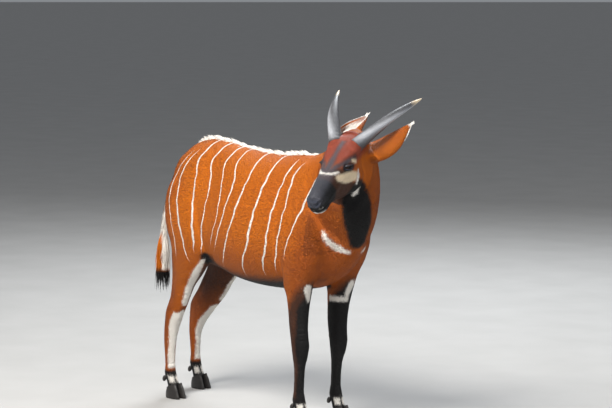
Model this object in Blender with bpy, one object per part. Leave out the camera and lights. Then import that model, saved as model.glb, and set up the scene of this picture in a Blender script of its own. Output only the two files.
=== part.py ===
"""A young bongo bull standing with its head turned to its right, as a life-size museum model.

Metres, +Z up. The spine runs along X with the chest at +X, and +Y is the animal's left side.
The flesh is lofted from cross-sections, fused into one skin, then parted into the named pieces.
"""

import math
import random

import bpy
import numpy as np
from mathutils import Matrix, Vector

# Driving sizes, for a bull 1.12 m high at the withers
WITHERS_HEIGHT = 1.12
SCALE = WITHERS_HEIGHT / 1.12
GAP = 0.0004
ROOT_GAP = 0.0006

# The head's place: the point between the horns, then its turn about Z, its nod and its tilt
HEAD_AT = Vector((0.631, -0.115, 1.191)) * SCALE
HEAD_YAW = math.radians(-69.8)
HEAD_NOD = math.radians(32.7)
HEAD_TILT = math.radians(-4.4)

# Parts of the head, in its own frame: +X down the face, +Y its left, +Z out of the forehead
EYE_AT = Vector((0.105, 0.0440, -0.039)) * SCALE
EYE_RADIUS = 0.0225 * SCALE
EYE_LOOK = Vector((0.42, 0.90, 0.08)).normalized()
EYE_LINE = Vector((1.0, -0.5, 0.39))
LID_OPENING = (0.0195 * SCALE, 0.0105 * SCALE)
HORN_ROOT = Vector((0.004, 0.0440, -0.014)) * SCALE
HORN_REACH = Vector((-0.342, 0.142, 0.000)) * SCALE
HORN_BOW = Vector((0.0, 0.011, 0.022)) * SCALE
HORN_WIDTH = 0.0315 * SCALE
HORN_TWIST = math.radians(140)
EAR_LENGTH = 0.225 * SCALE
EAR_WIDTH = 0.067 * SCALE
EAR_WALL = 0.0045 * SCALE

# The dorsal crest and the tail's tuft
CREST_LOCKS = 36
CREST_LENGTH = 0.070 * SCALE
TUFT_LOCKS = 12
TUFT_LENGTH = 0.18 * SCALE
CREST_FRONT = 0.335 * SCALE
CREST_BACK = -0.440 * SCALE
CREST_SINK = 0.012 * SCALE
TIP_WIDTH = 0.0005 * SCALE

# Feet
CORONET_HEIGHT = 0.050 * SCALE
CORONET_SLOPE = 0.36
CLAW_SPREAD = 0.0165 * SCALE
DEWCLAW_HEIGHT = 0.088 * SCALE

# Fusing: voxel sizes, softening steps and the triangles kept
BODY_VOXEL = 0.0065 * SCALE
HEAD_VOXEL = 0.0028 * SCALE
BODY_SOFTENING = 9
HEAD_SOFTENING = 6
BODY_TRIANGLES = 3700
HEAD_TRIANGLES = 3000

SEED = 7

RUFOUS = (0.43, 0.125, 0.022)
DARK_BROWN = (0.06, 0.028, 0.018)
HORN_GREY = (0.17, 0.15, 0.14)
BLACK = (0.012, 0.010, 0.010)


def clear_scene():
    for obj in list(bpy.data.objects):
        bpy.data.objects.remove(obj)


def material(name, colour, roughness):
    made = bpy.data.materials.new(name)
    made.use_nodes = True
    shader = made.node_tree.nodes["Principled BSDF"]
    shader.inputs["Base Color"].default_value = (*colour, 1)
    shader.inputs["Roughness"].default_value = roughness
    shader.inputs["Metallic"].default_value = 0.0
    made.diffuse_color = (*colour, 1)
    return made


# Mesh helpers

def new_object(name, points, faces):
    mesh = bpy.data.meshes.new(name)
    mesh.from_pydata([tuple(p) for p in points], [], faces)
    mesh.update()
    obj = bpy.data.objects.new(name, mesh)
    bpy.context.scene.collection.objects.link(obj)
    return obj


def copy_of(obj, name):
    twin = obj.copy()
    twin.data = obj.data.copy()
    twin.name = name
    bpy.context.scene.collection.objects.link(twin)
    return twin


def apply_modifiers(obj):
    graph = bpy.context.evaluated_depsgraph_get()
    graph.update()
    mesh = bpy.data.meshes.new_from_object(obj.evaluated_get(graph))
    old = obj.data
    obj.modifiers.clear()
    obj.data = mesh
    bpy.data.meshes.remove(old)


def read_vertices(obj, attribute="co"):
    flat = np.empty(len(obj.data.vertices) * 3)
    obj.data.vertices.foreach_get(attribute, flat)
    return flat.reshape(-1, 3)


def write_vertices(obj, points):
    obj.data.vertices.foreach_set("co", points.ravel())
    obj.data.update()


def swell(obj, distance):
    """Moves a skin out along its normals."""
    write_vertices(obj, read_vertices(obj) + read_vertices(obj, "normal") * distance)


def face_outwards(obj):
    obj.data.calc_loop_triangles()
    points = read_vertices(obj)
    corners = np.array([t.vertices for t in obj.data.loop_triangles])
    if np.linalg.det(points[corners]).sum() < 0:
        obj.data.flip_normals()


def boolean(obj, cutter, operation, solver="EXACT"):
    step = obj.modifiers.new(operation.lower(), "BOOLEAN")
    step.operation = operation
    step.solver = solver
    step.object = cutter
    apply_modifiers(obj)


def split_off(obj, region, name):
    """Takes the part of obj inside region off as a piece of its own, with a gap left between them."""
    piece = copy_of(obj, name)
    boolean(piece, region, "INTERSECT")
    swell(region, GAP)
    boolean(obj, region, "DIFFERENCE")
    bpy.data.objects.remove(region)
    return piece


def cut_clear(obj, neighbour):
    """Cuts obj back to just outside its neighbour, so that they meet face to face."""
    cutter = copy_of(neighbour, "clearance")
    swell(cutter, ROOT_GAP)
    boolean(obj, cutter, "DIFFERENCE", "MANIFOLD")
    bpy.data.objects.remove(cutter)
    keep_largest(obj)


def keep_largest(obj):
    """Keeps only the surface that holds the most room, and drops scraps and sealed hollows."""
    count = len(obj.data.vertices)
    group = np.arange(count)
    edges = np.array([e.vertices for e in obj.data.edges])
    while True:
        low = np.minimum(group[edges[:, 0]], group[edges[:, 1]])
        before = group.copy()
        np.minimum.at(group, edges[:, 0], low)
        np.minimum.at(group, edges[:, 1], low)
        group = group[group]
        if (group == before).all():
            break
    labels, sizes = np.unique(group, return_counts=True)
    if len(labels) == 1:
        return
    keep = labels[np.argmax(sizes)]
    number = np.cumsum(group == keep) - 1
    points = read_vertices(obj)[group == keep]
    faces = [[int(number[v]) for v in p.vertices] for p in obj.data.polygons if group[p.vertices[0]] == keep]
    mesh = bpy.data.meshes.new(obj.name)
    mesh.from_pydata(points.tolist(), [], faces)
    mesh.update()
    old = obj.data
    obj.data = mesh
    bpy.data.meshes.remove(old)


def join(obj, pieces):
    """One union of a collection of closed pieces with obj, with their meshes then removed."""
    group = bpy.data.collections.new("joined")
    for piece in pieces:
        group.objects.link(piece)
    step = obj.modifiers.new("join", "BOOLEAN")
    step.operation = "UNION"
    step.solver = "MANIFOLD"
    step.operand_type = "COLLECTION"
    step.collection = group
    apply_modifiers(obj)
    for piece in pieces:
        bpy.data.objects.remove(piece)
    bpy.data.collections.remove(group)
    keep_largest(obj)


# Cross-sections
# A section has a dorsal and a ventral point, a half width, where its widest line lies between
# them (0 at the ventral point), how square it is above and below that line, and the turn of its
# sideways axis about Z in degrees.

def section(dorsal, ventral, width, widest=0.5, square=(2.0, 2.0), turn=0.0):
    dorsal, ventral = Vector(dorsal), Vector(ventral)
    up = dorsal - ventral
    centre = ventral + up * widest
    height = up.length
    return [*centre, *up.normalized(), math.radians(turn), width, height * (1 - widest), height * widest, *square]


def scaled(rows):
    """Sections written for a withers height of 1.12 m, at this model's size."""
    sized = []
    for row in rows:
        row = list(row)
        for i in (0, 1, 2, 7, 8, 9):
            row[i] *= SCALE
        sized.append(row)
    return sized


def smooth_rows(rows, step):
    """The sections between the given ones, on a smooth curve through all of their numbers."""
    rows = np.array(rows, float)
    chords = np.linalg.norm(np.diff(rows[:, :3], axis=0), axis=1)
    t = np.concatenate([[0], np.cumsum(np.maximum(chords, 1e-4))])
    slopes = np.gradient(rows, t, axis=0)
    smooth = []
    for i in range(len(rows) - 1):
        span = t[i + 1] - t[i]
        count = max(1, round(span / step))
        for k in range(count):
            u = k / count
            here = (2 * u**3 - 3 * u**2 + 1) * rows[i] + (u**3 - 2 * u**2 + u) * span * slopes[i]
            there = (-2 * u**3 + 3 * u**2) * rows[i + 1] + (u**3 - u**2) * span * slopes[i + 1]
            smooth.append(here + there)
    smooth.append(rows[-1])
    return smooth


def power_ring(count, square_top=2.0, square_low=2.0):
    """Unit points round a rounded or squarish ring."""
    points = []
    for k in range(count):
        angle = 2 * math.pi * k / count
        c, s = math.cos(angle), math.sin(angle)
        power = 2 / (square_top if s > 0 else square_low)
        points.append((math.copysign(abs(c) ** power, c), math.copysign(abs(s) ** power, s)))
    return points


def ring_points(row, count):
    centre, up = Vector(row[0:3]), Vector(row[3:6]).normalized()
    turn, width, above, below, square_top, square_low = row[6:]
    side = Vector((-math.sin(turn), math.cos(turn), 0))
    side = (side - up * side.dot(up)).normalized()
    return [
        centre + side * across * max(width, 1e-4) + up * along * max(above if along > 0 else below, 1e-4)
        for across, along in power_ring(count, square_top, square_low)
    ]


def skin_of_rings(name, rings, place=None, folded=False):
    """A closed skin over rings of equal count. Its ends are fanned, or laced across a folded section."""
    count = len(rings[0])
    points = [p for ring in rings for p in ring]
    faces = []
    for i in range(len(rings) - 1):
        for k in range(count):
            a, b = i * count + k, i * count + (k + 1) % count
            faces += [(a, b, b + count), (a, b + count, a + count)]
    for ring, first, flip in ((rings[0], 0, True), (rings[-1], (len(rings) - 1) * count, False)):
        if folded:
            for k in range(count // 2 - 1):
                a, b, c, d = first + k, first + k + 1, first + count - 2 - k, first + count - 1 - k
                faces += [(c, b, a), (d, c, a)] if flip else [(a, b, c), (a, c, d)]
            continue
        points.append(sum(ring, Vector()) / count)
        tip = len(points) - 1
        for k in range(count):
            a, b = first + k, first + (k + 1) % count
            faces.append((b, a, tip) if flip else (a, b, tip))
    if place is not None:
        points = [place @ p for p in points]
    obj = new_object(name, points, faces)
    face_outwards(obj)
    return obj


def loft(name, rows, count=28, step=0.02, place=None):
    rings = [ring_points(row, count) for row in smooth_rows(rows, step * SCALE)]
    return skin_of_rings(name, rings, place)


def ellipsoid(name, centre, radii, turn=None, place=None, rows=14, columns=22):
    """A muscle, a bone or an eyeball."""
    matrix = Matrix.Translation(centre) @ (turn or Matrix()) @ Matrix.Diagonal((*radii, 1))
    if place is not None:
        matrix = place @ matrix
    points, faces = [], []
    for i in range(1, rows):
        for k in range(columns):
            a, b = math.pi * i / rows, 2 * math.pi * k / columns
            points.append(matrix @ Vector((math.sin(a) * math.cos(b), math.sin(a) * math.sin(b), math.cos(a))))
    for i in range(rows - 2):
        for k in range(columns):
            a, b = i * columns + k, i * columns + (k + 1) % columns
            faces.append((a, a + columns, b + columns, b))
    points += [matrix @ Vector((0, 0, 1)), matrix @ Vector((0, 0, -1))]
    last = (rows - 2) * columns
    for k in range(columns):
        faces.append((k, (k + 1) % columns, len(points) - 2))
        faces.append((last + (k + 1) % columns, last + k, len(points) - 1))
    obj = new_object(name, points, faces)
    face_outwards(obj)
    return obj


def box(name, centre, half, turn=None):
    matrix = Matrix.Translation(centre) @ (turn or Matrix())
    points = [
        matrix @ Vector((x * half[0], y * half[1], z * half[2]))
        for x in (-1, 1) for y in (-1, 1) for z in (-1, 1)
    ]
    faces = [(0, 1, 3, 2), (4, 6, 7, 5), (0, 4, 5, 1), (2, 3, 7, 6), (0, 2, 6, 4), (1, 5, 7, 3)]
    obj = new_object(name, points, faces)
    face_outwards(obj)
    return obj


def mirrored(vector, side):
    return Vector((vector[0], vector[1] * side, vector[2]))


# The trunk, neck and tail

def trunk_sections():
    """x, back, belly, half width, widest line, square above and below."""
    stations = (
        (-0.570, 0.985, 0.830, 0.045, 0.50, 2.0, 2.0),
        (-0.540, 1.050, 0.720, 0.095, 0.50, 2.0, 2.0),
        (-0.470, 1.108, 0.640, 0.138, 0.52, 2.0, 2.2),
        (-0.370, 1.138, 0.600, 0.160, 0.54, 1.9, 2.2),
        (-0.250, 1.136, 0.578, 0.168, 0.50, 1.9, 2.2),
        (-0.120, 1.118, 0.552, 0.188, 0.46, 2.0, 2.2),
        (0.020, 1.104, 0.541, 0.200, 0.44, 2.0, 2.2),
        (0.150, 1.102, 0.541, 0.194, 0.44, 1.9, 2.1),
        (0.270, 1.112, 0.550, 0.172, 0.45, 1.7, 2.0),
        (0.380, 1.108, 0.575, 0.148, 0.46, 1.7, 2.0),
        (0.480, 1.060, 0.628, 0.120, 0.46, 1.8, 2.0),
        (0.550, 0.980, 0.695, 0.085, 0.46, 2.0, 2.0),
        (0.588, 0.890, 0.755, 0.040, 0.46, 2.0, 2.0),
    )
    return scaled(section((x, 0, top), (x, 0, low), w, mid, (a, b)) for x, top, low, w, mid, a, b in stations)


def neck_sections():
    """Nape and throat points up to the back of the skull, turning with the head."""
    return scaled((
        section((0.270, 0.000, 1.100), (0.430, 0.000, 0.640), 0.125, 0.48, (1.8, 2.0)),
        section((0.370, 0.000, 1.128), (0.580, 0.000, 0.745), 0.122, 0.48, (1.8, 2.0)),
        section((0.450, 0.000, 1.162), (0.640, -0.002, 0.865), 0.107, 0.48, (1.9, 2.1)),
        section((0.500, -0.006, 1.194), (0.655, -0.014, 0.965), 0.091, 0.48, (2.0, 2.1), -15),
        section((0.540, -0.018, 1.222), (0.655, -0.040, 1.030), 0.078, 0.50, (2.0, 2.1), -34),
        section((0.575, -0.042, 1.236), (0.650, -0.070, 1.062), 0.069, 0.50, (2.0, 2.1), -52),
        section((0.605, -0.075, 1.225), (0.640, -0.110, 1.072), 0.062, 0.50, (2.0, 2.1), -66),
    ))


TAIL_PATH = (
    (-0.510, 0.000, 1.075, 0.032),
    (-0.558, -0.004, 1.034, 0.032),
    (-0.602, -0.014, 0.965, 0.027),
    (-0.638, -0.032, 0.870, 0.024),
    (-0.656, -0.048, 0.780, 0.022),
    (-0.663, -0.057, 0.690, 0.021),
    (-0.664, -0.061, 0.600, 0.017),
)


def tail_sections():
    """The dock, hanging behind the rump and a little to the right."""
    rows = []
    last = len(TAIL_PATH) - 1
    for i, (x, y, z, r) in enumerate(TAIL_PATH):
        ahead, behind = TAIL_PATH[min(i + 1, last)], TAIL_PATH[max(i - 1, 0)]
        run = (Vector(ahead[:3]) - Vector(behind[:3])).normalized()
        outwards = run.cross(Vector((0, -1, 0))).normalized()
        centre = Vector((x, y, z))
        rows.append(section(centre + outwards * r, centre - outwards * r, r * 0.9))
    return scaled(rows)


# The legs: height, front x, back x, half width, y from the midline

FORE_LEG = (
    (0.960, 0.435, 0.290, 0.030, 0.070),
    (0.860, 0.485, 0.262, 0.056, 0.098),
    (0.760, 0.495, 0.255, 0.066, 0.110),
    (0.680, 0.465, 0.256, 0.065, 0.115),
    (0.615, 0.422, 0.263, 0.056, 0.115),
    (0.550, 0.399, 0.276, 0.047, 0.112),
    (0.480, 0.379, 0.286, 0.0420, 0.109),
    (0.410, 0.372, 0.292, 0.0390, 0.108),
    (0.362, 0.374, 0.300, 0.0375, 0.108),
    (0.322, 0.376, 0.307, 0.0370, 0.108),
    (0.290, 0.373, 0.310, 0.0340, 0.108),
    (0.255, 0.363, 0.311, 0.0270, 0.107),
    (0.190, 0.356, 0.309, 0.0230, 0.106),
    (0.135, 0.355, 0.304, 0.0235, 0.106),
    (0.108, 0.362, 0.298, 0.0275, 0.106),
    (0.080, 0.370, 0.310, 0.0250, 0.106),
    (0.058, 0.381, 0.320, 0.0270, 0.106),
    (0.030, 0.391, 0.328, 0.0290, 0.106),
)

HIND_LEG = (
    (1.030, -0.300, -0.470, 0.035, 0.075),
    (0.930, -0.240, -0.548, 0.066, 0.092),
    (0.830, -0.222, -0.556, 0.080, 0.103),
    (0.750, -0.228, -0.542, 0.078, 0.106),
    (0.680, -0.248, -0.518, 0.068, 0.107),
    (0.610, -0.285, -0.508, 0.059, 0.108),
    (0.550, -0.335, -0.510, 0.049, 0.108),
    (0.500, -0.384, -0.516, 0.041, 0.108),
    (0.450, -0.412, -0.526, 0.036, 0.109),
    (0.405, -0.436, -0.547, 0.0340, 0.110),
    (0.378, -0.452, -0.558, 0.0330, 0.111),
    (0.345, -0.468, -0.562, 0.0320, 0.112),
    (0.305, -0.488, -0.566, 0.0300, 0.113),
    (0.250, -0.505, -0.568, 0.0270, 0.114),
    (0.190, -0.511, -0.564, 0.0240, 0.115),
    (0.135, -0.512, -0.562, 0.0235, 0.115),
    (0.104, -0.506, -0.566, 0.0265, 0.115),
    (0.078, -0.495, -0.553, 0.0245, 0.115),
    (0.058, -0.484, -0.543, 0.0265, 0.115),
    (0.030, -0.474, -0.536, 0.0285, 0.115),
)

# Each leg: its table, its side and how far its foot stands from the table's, along X
LEGS = {
    "leg_fore_right": (FORE_LEG, -1, 0.0),
    "leg_fore_left": (FORE_LEG, 1, -0.015),
    "leg_hind_right": (HIND_LEG, -1, 0.0),
    "leg_hind_left": (HIND_LEG, 1, -0.120),
}


# A leg set back takes up its step between these heights, along its front and its rear line
FRONT_STEP = (0.50, 0.22)
BACK_STEP = (0.66, 0.36)


def step_at(z, step, levels):
    """How far the line of a leg has moved at z, smoothly from nothing at the upper level."""
    top, bottom = levels
    share = min(1.0, max(0.0, (top - z) / (top - bottom)))
    return step * share * share * (3 - 2 * share)


def leg_flesh(name):
    table, side, step = LEGS[name]
    rows = []
    for z, front, back, width, y in table:
        front += step_at(z, step, FRONT_STEP)
        back += step_at(z, step, BACK_STEP)
        rows.append(section((front, side * y, z), (back, side * y, z), width, 0.55, (2.1, 2.1)))
    return loft(name, scaled(rows), count=22, step=0.014)


def foot_centre(name):
    """The middle of the pastern's end, over the sole."""
    table, side, step = LEGS[name]
    z, front, back, width, y = table[-1]
    return Vector(((front + back) / 2 + step, side * y, 0)) * SCALE


# The region of each leg: height, front x, back x, half width, y, with its rise to the rear

FORE_REGION = (
    (0.400, 0.470, 0.230, 0.075, 0.112),
    (0.560, 0.480, 0.225, 0.085, 0.128),
    (0.640, 0.478, 0.238, 0.080, 0.142),
    (0.690, 0.450, 0.268, 0.060, 0.155),
    (0.715, 0.400, 0.320, 0.025, 0.160),
)

HIND_REGION = (
    (0.360, -0.330, -0.680, 0.088, 0.118),
    (0.540, -0.215, -0.600, 0.100, 0.138),
    (0.700, -0.180, -0.575, 0.105, 0.158),
    (0.820, -0.215, -0.560, 0.085, 0.172),
    (0.875, -0.280, -0.510, 0.055, 0.182),
    (0.895, -0.370, -0.440, 0.020, 0.186),
)


def leg_region(name):
    """A domed volume round one leg, flat and sloping where the claws meet the coronet."""
    table, side, step = LEGS[name]
    domed = FORE_REGION if table is FORE_LEG else HIND_REGION
    foot = foot_centre(name) / SCALE
    reach, slope, coronet = 0.085, CORONET_SLOPE, CORONET_HEIGHT / SCALE
    rows = []
    for z in (coronet, 0.20):
        tilt = slope * reach if z == coronet else 0.0
        front, back = (foot.x + reach, foot.y, z + tilt), (foot.x - reach, foot.y, z - tilt)
        rows.append(section(front, back, 0.065, 0.5, (4.0, 4.0)))
    for z, front, back, width, y in domed:
        front += step_at(z, step, FRONT_STEP)
        back += step_at(z, step, BACK_STEP)
        rows.append(section((front, side * y, z), (back, side * y, z), width, 0.5, (2.6, 2.6)))
    return loft(f"region_{name}", scaled(rows), count=20, step=0.12)


# The head

def head_place():
    return (
        Matrix.Translation(HEAD_AT)
        @ Matrix.Rotation(HEAD_YAW, 4, "Z")
        @ Matrix.Rotation(HEAD_NOD, 4, "Y")
        @ Matrix.Rotation(HEAD_TILT, 4, "X")
    )


def skull_sections():
    """x, face line, jaw line, half width, widest line, square above and below."""
    stations = (
        (-0.085, -0.035, -0.115, 0.038, 0.50, 2.0, 2.0),
        (-0.065, -0.010, -0.146, 0.054, 0.52, 2.2, 2.0),
        (-0.030, 0.004, -0.172, 0.064, 0.60, 2.4, 1.9),
        (0.015, 0.010, -0.190, 0.068, 0.66, 2.5, 1.9),
        (0.065, 0.010, -0.197, 0.067, 0.68, 2.5, 1.9),
        (0.105, 0.005, -0.192, 0.063, 0.68, 2.4, 1.9),
        (0.143, 0.000, -0.176, 0.056, 0.64, 2.4, 1.9),
        (0.180, -0.005, -0.156, 0.0490, 0.60, 2.4, 2.0),
        (0.217, -0.009, -0.139, 0.0435, 0.57, 2.4, 2.0),
        (0.254, -0.013, -0.127, 0.0400, 0.56, 2.3, 2.0),
        (0.288, -0.017, -0.120, 0.0370, 0.55, 2.3, 2.0),
        (0.315, -0.024, -0.114, 0.0340, 0.54, 2.3, 2.0),
        (0.333, -0.033, -0.105, 0.0285, 0.54, 2.2, 2.0),
        (0.341, -0.047, -0.092, 0.0170, 0.54, 2.0, 2.0),
    )
    return scaled(section((x, 0, top), (x, 0, low), w, mid, (a, b)) for x, top, low, w, mid, a, b in stations)


# Swellings of one side of the head: centre, radii and the yaw of their long axis in degrees
BROW = ((0.082, 0.0350, -0.020), (0.064, 0.027, 0.025), 12)
LIDS = ((0.105, 0.0440, -0.040), (0.037, 0.0262, 0.0290), 14)
CHEEK = ((0.072, 0.0380, -0.122), (0.070, 0.027, 0.060), 8)
HORN_BOSS = ((0.010, 0.0370, -0.015), (0.056, 0.036, 0.026), 0)
MUZZLE_SIDE = ((0.170, 0.0290, -0.088), (0.078, 0.0205, 0.040), 12)
NOSE_WING = ((0.310, 0.0175, -0.053), (0.031, 0.0180, 0.022), 6)
UPPER_LIP = ((0.296, 0.0205, -0.084), (0.039, 0.0165, 0.019), 6)
LOWER_LIP = ((0.284, 0.0125, -0.108), (0.039, 0.0175, 0.0130), 4)
SWELLINGS = (BROW, LIDS, CHEEK, HORN_BOSS, MUZZLE_SIDE, NOSE_WING, UPPER_LIP, LOWER_LIP)

# Lines carved in the head: their points, then how far each reaches sideways and how deep it goes
MOUTH = (
    ((0.344, 0.000, -0.0810), (0.333, 0.020, -0.0840), (0.314, 0.032, -0.0870), (0.287, 0.037, -0.0905),
     (0.260, 0.040, -0.0930)), 0.0042, 0.0050)
NOSTRIL = (((0.343, 0.0120, -0.0590), (0.340, 0.0190, -0.0545), (0.332, 0.0240, -0.0485), (0.323, 0.0265, -0.0480)),
           0.0050, 0.0085)
NOSTRIL_RIM = (((0.332, 0.0245, -0.0370), (0.319, 0.0305, -0.0420), (0.319, 0.0315, -0.0560)), 0.0060, -0.0022)
LIP_CLEFT = (((0.348, 0.000, -0.0610), (0.343, 0.000, -0.0780)), 0.0030, 0.0018)
TEMPLE = (((0.052, 0.062, -0.052), (0.020, 0.066, -0.060)), 0.0160, 0.0030)
TEAR_LINE = (((0.134, 0.052, -0.046), (0.170, 0.044, -0.056)), 0.0070, 0.0028)
FACE_HOLLOW = (((0.140, 0.056, -0.112), (0.186, 0.048, -0.098)), 0.0200, 0.0040)
CARVED_LINES = (MOUTH, NOSTRIL, NOSTRIL_RIM, LIP_CLEFT, TEMPLE, TEAR_LINE, FACE_HOLLOW)


def head_swellings(place):
    made = []
    for side in (1, -1):
        for centre, radii, yaw in SWELLINGS:
            turn = Matrix.Rotation(math.radians(-yaw * side), 4, "Z")
            radii = [r * SCALE for r in radii]
            made.append(ellipsoid("swelling", mirrored(Vector(centre) * SCALE, side), radii, turn, place))
    return made


def distance_to_line(points, line):
    nearest = np.full(len(points), 1e9)
    line = np.array(line, float)
    for a, b in zip(line[:-1], line[1:]):
        run = b - a
        t = np.clip((points - a) @ run / (run @ run), 0, 1)
        nearest = np.minimum(nearest, np.linalg.norm(points - (a + t[:, None] * run), axis=1))
    return nearest


def carve_head(obj, place):
    """Presses the mouth, the nostrils and the hollows of the face into the skin."""
    world = read_vertices(obj)
    inverse = np.array(place.inverted())
    local = (world @ inverse[:3, :3].T + inverse[:3, 3]) / SCALE
    local[:, 1] = np.abs(local[:, 1])
    move = np.zeros(len(world))
    for line, reach, depth in CARVED_LINES:
        move += depth * np.exp(-((distance_to_line(local, line) / reach) ** 2))
    write_vertices(obj, world - read_vertices(obj, "normal") * move[:, None] * SCALE)


def look_frame(side):
    """The eye's axes in the head's frame: forward along the lids, up, and out along its look."""
    out = mirrored(EYE_LOOK, side)
    forward = mirrored(EYE_LINE, side)
    forward = (forward - out * forward.dot(out)).normalized()
    up = out.cross(forward) * -side
    return Matrix((forward, up, out)).transposed().to_4x4()


def eye_opening(side, place):
    """An almond prism from the eyeball's centre outwards."""
    length, height = LID_OPENING
    turn = place @ Matrix.Translation(mirrored(EYE_AT, side)) @ look_frame(side)
    outline = []
    for k in range(20):
        a = 2 * math.pi * k / 20
        outline.append((length * math.cos(a), height * math.copysign(abs(math.sin(a)) ** 1.25, math.sin(a))))
    rings = [[Vector((x, y, z)) for x, y in outline] for z in (0.004 * SCALE, 0.06 * SCALE)]
    return skin_of_rings("opening", rings, turn)


def eyeball(name, radius, side, place):
    return ellipsoid(name, mirrored(EYE_AT, side), (radius,) * 3, None, place, rows=10, columns=16)


def open_sockets(head, place):
    for side in (1, -1):
        for cutter in (eyeball("socket", EYE_RADIUS + GAP, side, place), eye_opening(side, place)):
            boolean(head, cutter, "DIFFERENCE")
            bpy.data.objects.remove(cutter)
    keep_largest(head)


# Horns and ears

def horn(name, side, place):
    """A bowed horn that turns slowly about its own line and is keeled in front."""
    rings = []
    last = 17
    for i in range(last + 1):
        t = i / last
        centre = mirrored(HORN_ROOT + HORN_REACH * t + HORN_BOW * math.sin(math.pi * t), side)
        slope = mirrored(HORN_REACH + HORN_BOW * math.pi * math.cos(math.pi * t), side).normalized()
        taper = (1 - t) ** 0.62 * (1 - 0.10 * t)
        radius = max(HORN_WIDTH * taper, 0.0012 * SCALE)
        front = Matrix.Rotation(side * HORN_TWIST * t, 4, slope) @ Vector((0.55, 0, 0.83))
        front = (front - slope * front.dot(slope)).normalized()
        across = slope.cross(front)
        ring = []
        for k in range(12):
            a = 2 * math.pi * k / 12
            keel = 1 + 0.14 * math.exp(-((math.atan2(math.sin(a), math.cos(a)) / 0.5) ** 2))
            ring.append(centre + front * math.cos(a) * radius * keel + across * math.sin(a) * radius * 0.9)
        rings.append(ring)
    return skin_of_rings(name, rings, place)


# Each ear in the head's frame: its root, the way it points and the way its cup opens
EARS = {
    "ear_left": ((-0.030, 0.056, -0.090), (-0.686, 0.648, 0.290), (-0.25, 0.35, -0.90)),
    "ear_right": ((-0.034, -0.054, -0.070), (-0.945, 0.100, 0.030), (0.35, -0.35, 0.93)),
}


def ear(name, place):
    """A leaf-shaped cup, narrow at its root, with a wall of even thickness."""
    root, along, opening = EARS[name]
    root, along = Vector(root) * SCALE, Vector(along).normalized()
    back = -(Vector(opening) - along * Vector(opening).dot(along)).normalized()
    across = along.cross(back)
    rings = []
    last = 13
    for i in range(last + 1):
        t = i / last
        leaf = math.sin(math.pi * min(1.0, 0.16 + 0.84 * t ** 0.80)) ** 0.80
        width = max(EAR_WIDTH * leaf, 0.003 * SCALE)
        depth = EAR_WIDTH * (0.52 - 0.36 * t) * min(1.0, leaf + 0.35)
        wrap = math.radians(150 - 62 * t)
        bend = back * EAR_LENGTH * 0.10 * math.sin(math.pi * t) * -1
        centre = root + along * EAR_LENGTH * t + bend
        wall = min(EAR_WALL, width * 0.45)
        ring = []
        for shrink, order in ((0.0, 1), (wall, -1)):
            for k in range(9)[::order]:
                a = wrap * (k / 4 - 1)
                stretch = 1 / max(math.sin(min(wrap, math.pi / 2)), 0.3)
                x = (width - shrink) * math.sin(a) * stretch
                y = (depth - shrink) * math.cos(a)
                ring.append(centre + across * x + back * y)
        rings.append(ring)
    return skin_of_rings(name, rings, place, folded=True)


# Hooves

def claw(name, leg_name, side):
    """Half of a cloven hoof: a sloping top under the coronet, a pointed toe and a flat sole."""
    foot = foot_centre(leg_name)
    rows = []
    slope = CORONET_SLOPE
    levels = (
        (1.00, 0.030, -0.0300, 0.0132, 0.0000),
        (0.72, 0.039, -0.0325, 0.0158, 0.0006),
        (0.32, 0.049, -0.0335, 0.0168, 0.0012),
        (0.06, 0.0555, -0.0325, 0.0170, 0.0016),
        (0.00, 0.0545, -0.0310, 0.0160, 0.0016),
    )
    for share, front, back, width, apart in levels:
        y = foot.y + side * (CLAW_SPREAD + apart * SCALE)
        points = []
        for x in (front, back):
            top = CORONET_HEIGHT - GAP * 2 + slope * x * SCALE
            points.append(Vector((foot.x + x * SCALE, y, top * share)))
        rows.append(section(points[0], points[1], width * SCALE, 0.42, (1.7, 2.2)))
    return loft(name, rows, count=16, step=0.05)


def dewclaw(name, leg_name, side, flesh):
    """A small nub behind the fetlock."""
    table, leg_side, step = LEGS[leg_name]
    foot = foot_centre(leg_name)
    heights = [row[0] * SCALE for row in reversed(table)]
    backs = [(row[2] + step) * SCALE for row in reversed(table)]
    x = float(np.interp(DEWCLAW_HEIGHT, heights, backs))
    centre = Vector((x, foot.y, DEWCLAW_HEIGHT)) + Vector((-0.001, side * 0.0145, -0.008)) * SCALE
    turn = Matrix.Rotation(math.radians(25), 4, "Y")
    nub = ellipsoid(name, centre, [r * SCALE for r in (0.0095, 0.0085, 0.0150)], turn, None, rows=6, columns=9)
    cut_clear(nub, flesh)
    return nub


# Locks of hair

def lock(root, lift, along, flat, length, width, thickness, droop):
    """A flat tapered lock that leaves its root along lift and bends over towards along."""
    rings = []
    steps = 3
    centre = Vector(root)
    for i in range(steps + 1):
        t = i / steps
        heading = (lift * (1 - t) ** droop + along * (0.3 + t)).normalized()
        if i:
            centre = centre + heading * length / steps
        side = flat.cross(heading).normalized()
        normal = heading.cross(side)
        half = width * (1 - t) ** 0.75 + TIP_WIDTH
        thick = thickness * (1 - t) ** 0.75 + TIP_WIDTH
        rings.append([centre + side * half * x + normal * thick * y for x, y in ((1, 0), (0, 1), (-1, 0), (0, -1))])
    return skin_of_rings("lock", rings)


def back_height(x):
    """The top line of the trunk over x."""
    rows = np.array(smooth_rows(trunk_sections(), 0.02 * SCALE))
    tops = rows[:, 2] + rows[:, 5] * rows[:, 8]
    return float(np.interp(x, rows[:, 0], tops))


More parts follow.
